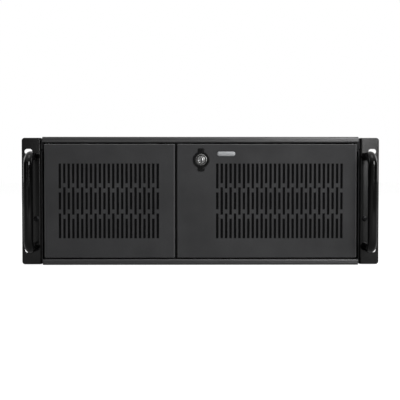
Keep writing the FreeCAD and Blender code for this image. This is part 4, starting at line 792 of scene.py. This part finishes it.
class CASE_OT_lock(bpy.types.Operator):
    """Cam lock: serrated barrel, milled plug with its keyway, and the glossy plate below it"""
    bl_idname = "case.lock"
    bl_label = "Door lock"

    def execute(self, context):
        low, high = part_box("lock_barrel")
        radius = (high.x - low.x) / 2
        middle = Vector(((low.x + high.x) / 2, low.y, (low.z + high.z) / 2))
        # Both turned pieces stand about +Z with z = 0 at the barrel's face, and then face forwards.
        place = facing(middle, (0, -1, 0))
        make_piece("lock_barrel_turned", [(self.barrel(radius, low.y - high.y), place)],
                   "right_door", "nickel_plate", ["lock_barrel"])

        low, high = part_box("lock_rotor")
        plug = self.plug((high.x - low.x) / 2, middle.y - low.y, middle.y - high.y)
        make_piece("lock_plug_milled", [(plug, place)], "lock_plug", "nickel_plate", ["lock_rotor"])

        plate = rounded_copy("lock_escutcheon", 0.5 * MM, 3)
        make_piece("lock_plate_moulded", [(plate, Matrix())], "right_door", "black_plastic",
                   ["lock_escutcheon"], 40, "trim_plastic")
        return {"FINISHED"}

    @staticmethod
    def barrel(radius, foot):
        """The barrel: a scalloped rim, a raised lip, a groove, an inner ring and a thread below the plate."""
        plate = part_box("lock_barrel")[0].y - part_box("lock_escutcheon")[1].y
        bore = 5.75 * MM
        teeth = knurl(0.45 * MM)
        # How far in from the rim and how far back from the face each turned step lies, in mm.
        steps = [(0.8, 0.05), (1.0, 0.0), (1.1, 0.5), (1.4, 0.5), (1.45, 0.05), (1.6, 0.05)]
        profile = [(radius, plate, teeth), (radius, -1.0 * MM, teeth),
                   (radius - 0.25 * MM, -0.45 * MM, teeth)]
        profile += [(radius - inward * MM, -back * MM) for inward, back in steps]
        profile += [(bore, -1.1 * MM), (bore, foot), (radius - 0.5 * MM, foot)]
        profile += thread(radius, 0.45 * MM, 1.0 * MM, plate - 0.2 * MM, foot + 0.3 * MM)[::-1]
        return drawn(lambda mesh: lathe(mesh, profile, 60, closed=True))

    @staticmethod
    def plug(radius, face, foot):
        """The key plug: a dished face with a raised ring, and the keyway cut into it."""
        key_width, key_height, key_depth = 1.7 * MM, 5.4 * MM, 12 * MM
        # Radius and depth below the face of each turned step, in mm.
        steps = [(0, 0), (2.7, 0), (3.1, 0.25), (3.2, 0.8), (4.0, 0.8), (4.1, 0.15), (4.5, 0), (4.9, 0.1)]
        profile = [(r * MM, face - back * MM) for r, back in steps]
        profile += [(radius, face - 0.9 * MM), (radius, foot), (0, foot)]
        return cut(lambda mesh: lathe(mesh, profile, 48),
                   lambda mesh: prism(mesh, oblong(key_width, key_height), face - key_depth, face + MM))


class CASE_OT_hexagon_screws(bpy.types.Operator):
    """Hexagon screws with washers that hold the slot covers"""
    bl_idname = "case.hexagon_screws"
    bl_label = "Slot screws"

    def execute(self, context):
        height = 2.4 * MM
        placed = []
        screw = None
        for low, high in solids("slot_screws"):
            flats = min(high.x - low.x, high.y - low.y)
            screw = screw or hex_head(flats, height, high.z - low.z - height)
            at = Vector(((low.x + high.x) / 2, (low.y + high.y) / 2, high.z - height))
            placed.append((screw, Matrix.Translation(at) @ spun(math.pi / 6 * len(placed))))
        make_piece("slot_screws_hexagonal", placed, "chassis", "galvanised_steel", ["slot_screws"])
        return {"FINISHED"}


class CASE_OT_thumbscrews(bpy.types.Operator):
    """Knurled captive screws on the cover's rear lap"""
    bl_idname = "case.thumbscrews"
    bl_label = "Cover thumbscrews"

    def execute(self, context):
        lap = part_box("top_cover")[1].y
        placed = []
        screw = None
        for low, high in solids("cover_thumbscrews"):
            radius = (high.x - low.x) / 2
            screw = screw or thumbscrew(radius, high.y - lap, radius * 0.45, lap - low.y)
            at = Vector(((low.x + high.x) / 2, lap, (low.z + high.z) / 2))
            placed.append((screw, facing(at, (0, 1, 0)) @ spun(0.9 * len(placed))))
        make_piece("cover_thumbscrews_knurled", placed, "cover", "nickel_plate", ["cover_thumbscrews"], 25)
        return {"FINISHED"}


class CASE_OT_board_parts(bpy.types.Operator):
    """Pin headers and a small chip behind the control board"""
    bl_idname = "case.board_parts"
    bl_label = "Board parts"

    def execute(self, context):
        low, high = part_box("control_board")
        middle = (low.x + high.x) / 2

        def block(width, height, depth):
            return drawn(lambda mesh: prism(mesh, oblong(width, height), -depth, 0.0, 0.94))

        def at(x, z, lift=0.0):
            return facing(Vector((x, high.y + lift, z)), (0, -1, 0))

        pin_pitch, pin_width, pin_length, housing = 2.54 * MM, 0.64 * MM, 6.0 * MM, 2.5 * MM
        pin = block(pin_width, pin_width, pin_length)
        bodies = []
        pins = []
        # The middle of each header, and its rows of pins.
        for z, count in ((low.z + 16 * MM, 8), (high.z - 20 * MM, 5)):
            bodies.append((block(2 * pin_pitch, count * pin_pitch, housing), at(middle, z)))
            for i in range(count):
                for side in (-0.5, 0.5):
                    row = z + (i - (count - 1) / 2) * pin_pitch
                    pins.append((pin, at(middle + side * pin_pitch, row, housing - 0.1 * MM)))

        # Each leg is one bar through the chip, so it shows on both sides.
        chip_width, chip_length, chip_height = 6 * MM, 10 * MM, 1.6 * MM
        leg_pitch, legs, leg_span, leg_width, lift = 1.27 * MM, 7, 9.0 * MM, 0.5 * MM, 0.01 * MM
        chip_z = (low.z + high.z) / 2
        bodies.append((block(chip_width, chip_length, chip_height), at(middle, chip_z)))
        leg = block(leg_span, leg_width, leg_width)
        pins += [(leg, at(middle, chip_z + (i - (legs - 1) / 2) * leg_pitch, lift)) for i in range(legs)]
        make_piece("board_parts", bodies, "chassis", "black_plastic")
        make_piece("board_pins", pins, "chassis", "nickel_plate")
        return {"FINISHED"}


class CASE_OT_rivets(bpy.types.Operator):
    """Blind rivets that hold the rear panel to the sides"""
    bl_idname = "case.rivets"
    bl_label = "Blind rivets"

    def execute(self, context):
        sizes = context.scene.case_sizes
        # Shares of the head's radius and height: a dimple in a dome with a thin rim.
        steps = [(0, 0.35), (0.28, 0.35), (0.34, 0.9), (0.55, 1.0), (0.8, 0.75), (0.97, 0.3), (1.0, 0),
                 (0, 0)]
        profile = [(r * sizes.rivet_radius, z * sizes.rivet_height) for r, z in steps]
        head = drawn(lambda mesh: lathe(mesh, profile, 24))
        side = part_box("chassis_base")[1].x
        low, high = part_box("rear_panel")
        heights = (30 * MM, 86 * MM, 140 * MM)
        placed = [(head, facing(Vector((way * side, (low.y + high.y) / 2, z)), (way, 0, 0)))
                  for z in heights for way in (-1, 1)]
        make_piece("side_rivets", placed, "chassis", "black_powder_coat")
        return {"FINISHED"}


class CASE_OT_studio(bpy.types.Operator):
    """Pale floor, softboxes, surroundings and camera"""
    bl_idname = "case.studio"
    bl_label = "Studio"

    def execute(self, context):
        scene = context.scene
        light = scene.case_light
        self.lay_floor(context)
        for name, azimuth, elevation, distance, width, height, power in LAMPS:
            lamp = bpy.data.lights.new(name, "AREA")
            lamp.shape = "RECTANGLE"
            lamp.size = width
            lamp.size_y = height
            lamp.energy = getattr(light, power)
            holder = bpy.data.objects.new(name, lamp)
            a, e = math.radians(azimuth), math.radians(elevation)
            way = Vector((math.sin(a) * math.cos(e), -math.cos(a) * math.cos(e), math.sin(e)))
            holder.location = Vector((0, 0, LAMP_AIM)) + way * distance
            holder.rotation_euler = way.to_track_quat("Z", "Y").to_euler()
            context.collection.objects.link(holder)
        scene.world = self.surroundings(light.fill)

        camera = bpy.data.cameras.new("camera")
        camera.lens = light.lens
        camera.sensor_width = 36
        camera.shift_x, camera.shift_y = CAMERA_SHIFT
        stand = bpy.data.objects.new("camera", camera)
        stand.location = CAMERA_PLACE
        stand.rotation_euler = CAMERA_TURN
        context.collection.objects.link(stand)
        scene.camera = stand
        scene.view_settings.view_transform = "Standard"
        return {"FINISHED"}

    @staticmethod
    def lay_floor(context):
        """A matt floor that looks white but mirrors and scatters as pale grey board."""
        bend_and_top_highlight_tone, drop = 9, 0.2 * MM
        corners = [(x, y, -drop) for x, y in oblong(2 * bend_and_top_highlight_tone, 2 * bend_and_top_highlight_tone)]
        floor = drawn(lambda mesh: mesh.faces.new([mesh.verts.new(at) for at in corners]))
        ground = bpy.data.objects.new("studio_floor", floor)
        context.collection.objects.link(ground)
        material, tree, shader, place = finish("Painted_board_rolled", Roughness=0.9, Specular_IOR_Level=0.1)
        # Roller texture of 4 mm, hardly visible.
        roll = speckle(tree, place, 4 * MM, Detail=2.0)
        path = add(tree, "ShaderNodeLightPath")
        wire(shader, Base_Color=tone(tree, roll, "#b6b6b6", "#c0c0c0"), Emission_Color=linear("#ffffff"),
             Emission_Strength=spread(tree, path.outputs["Is Camera Ray"], 0.0, 0.76))
        floor.materials.append(material)

    @staticmethod
    def surroundings(fill):
        """A room that is white to look at, lights all surfaces evenly, and is dark in front when mirrored."""
        world = bpy.data.worlds.new("studio_surroundings")
        world.use_nodes = True
        tree = world.node_tree
        tree.nodes.clear()
        way = add(tree, "ShaderNodeTexCoord").outputs["Generated"]
        parts = add(tree, "ShaderNodeSeparateXYZ", Vector=way).outputs
        # The room is pale behind and above the case, and dark in front, where the camera stands.
        behind = add(tree, "ShaderNodeMapRange", Value=parts["Y"], From_Min=0.1, From_Max=0.6,
                     To_Min=0.03, To_Max=0.9).outputs["Result"]
        above = add(tree, "ShaderNodeMapRange", Value=parts["Z"], From_Min=0.4, From_Max=0.9,
                    To_Min=0.03, To_Max=1.0).outputs["Result"]
        path = add(tree, "ShaderNodeLightPath").outputs
        lighting = add(tree, "ShaderNodeMix", Factor=path["Is Glossy Ray"], A=fill,
                       B=combine(tree, "MAXIMUM", behind, above)).outputs[0]
        seen = combine(tree, "MAXIMUM", path["Is Camera Ray"], path["Is Transmission Ray"])
        strength = add(tree, "ShaderNodeMix", Factor=seen, A=lighting, B=1.0).outputs[0]
        back = add(tree, "ShaderNodeBackground", Color=linear("#ffffff"), Strength=strength)
        add(tree, "ShaderNodeOutputWorld", Surface=back.outputs["Background"])
        return world


class CASE_PT_panel(bpy.types.Panel):
    """Lists the steps that dress the case"""
    bl_idname = "CASE_PT_panel"
    bl_label = "Server case"
    bl_space_type = "VIEW_3D"
    bl_region_type = "UI"
    bl_category = "Server case"

    def draw(self, context):
        scene = context.scene
        for group in (scene.case_colours, scene.case_sizes, scene.case_light):
            for key in group.bl_rna.properties.keys():
                if key not in ("rna_type", "name"):
                    self.layout.prop(group, key)
        for step in STEPS:
            self.layout.operator(step.bl_idname)


STEPS = (CASE_OT_finishes, CASE_OT_rails, CASE_OT_badge, CASE_OT_lock, CASE_OT_foam, CASE_OT_screws,
         CASE_OT_hexagon_screws, CASE_OT_thumbscrews, CASE_OT_rivets, CASE_OT_board_parts, CASE_OT_studio)
GROUPS = {"case_colours": CaseColours, "case_sizes": CaseSizes, "case_light": StudioLight}


def register():
    for group in GROUPS.values():
        bpy.utils.register_class(group)
    for name, group in GROUPS.items():
        setattr(bpy.types.Scene, name, bpy.props.PointerProperty(type=group))
    for step in STEPS:
        bpy.utils.register_class(step)
    bpy.utils.register_class(CASE_PT_panel)


def unregister():
    bpy.utils.unregister_class(CASE_PT_panel)
    for step in reversed(STEPS):
        bpy.utils.unregister_class(step)
    for name, group in GROUPS.items():
        delattr(bpy.types.Scene, name)
        bpy.utils.unregister_class(group)


def main():
    register()
    for step in STEPS:
        group, name = step.bl_idname.split(".")
        getattr(getattr(bpy.ops, group), name)()


if __name__ == "__main__":
    main()
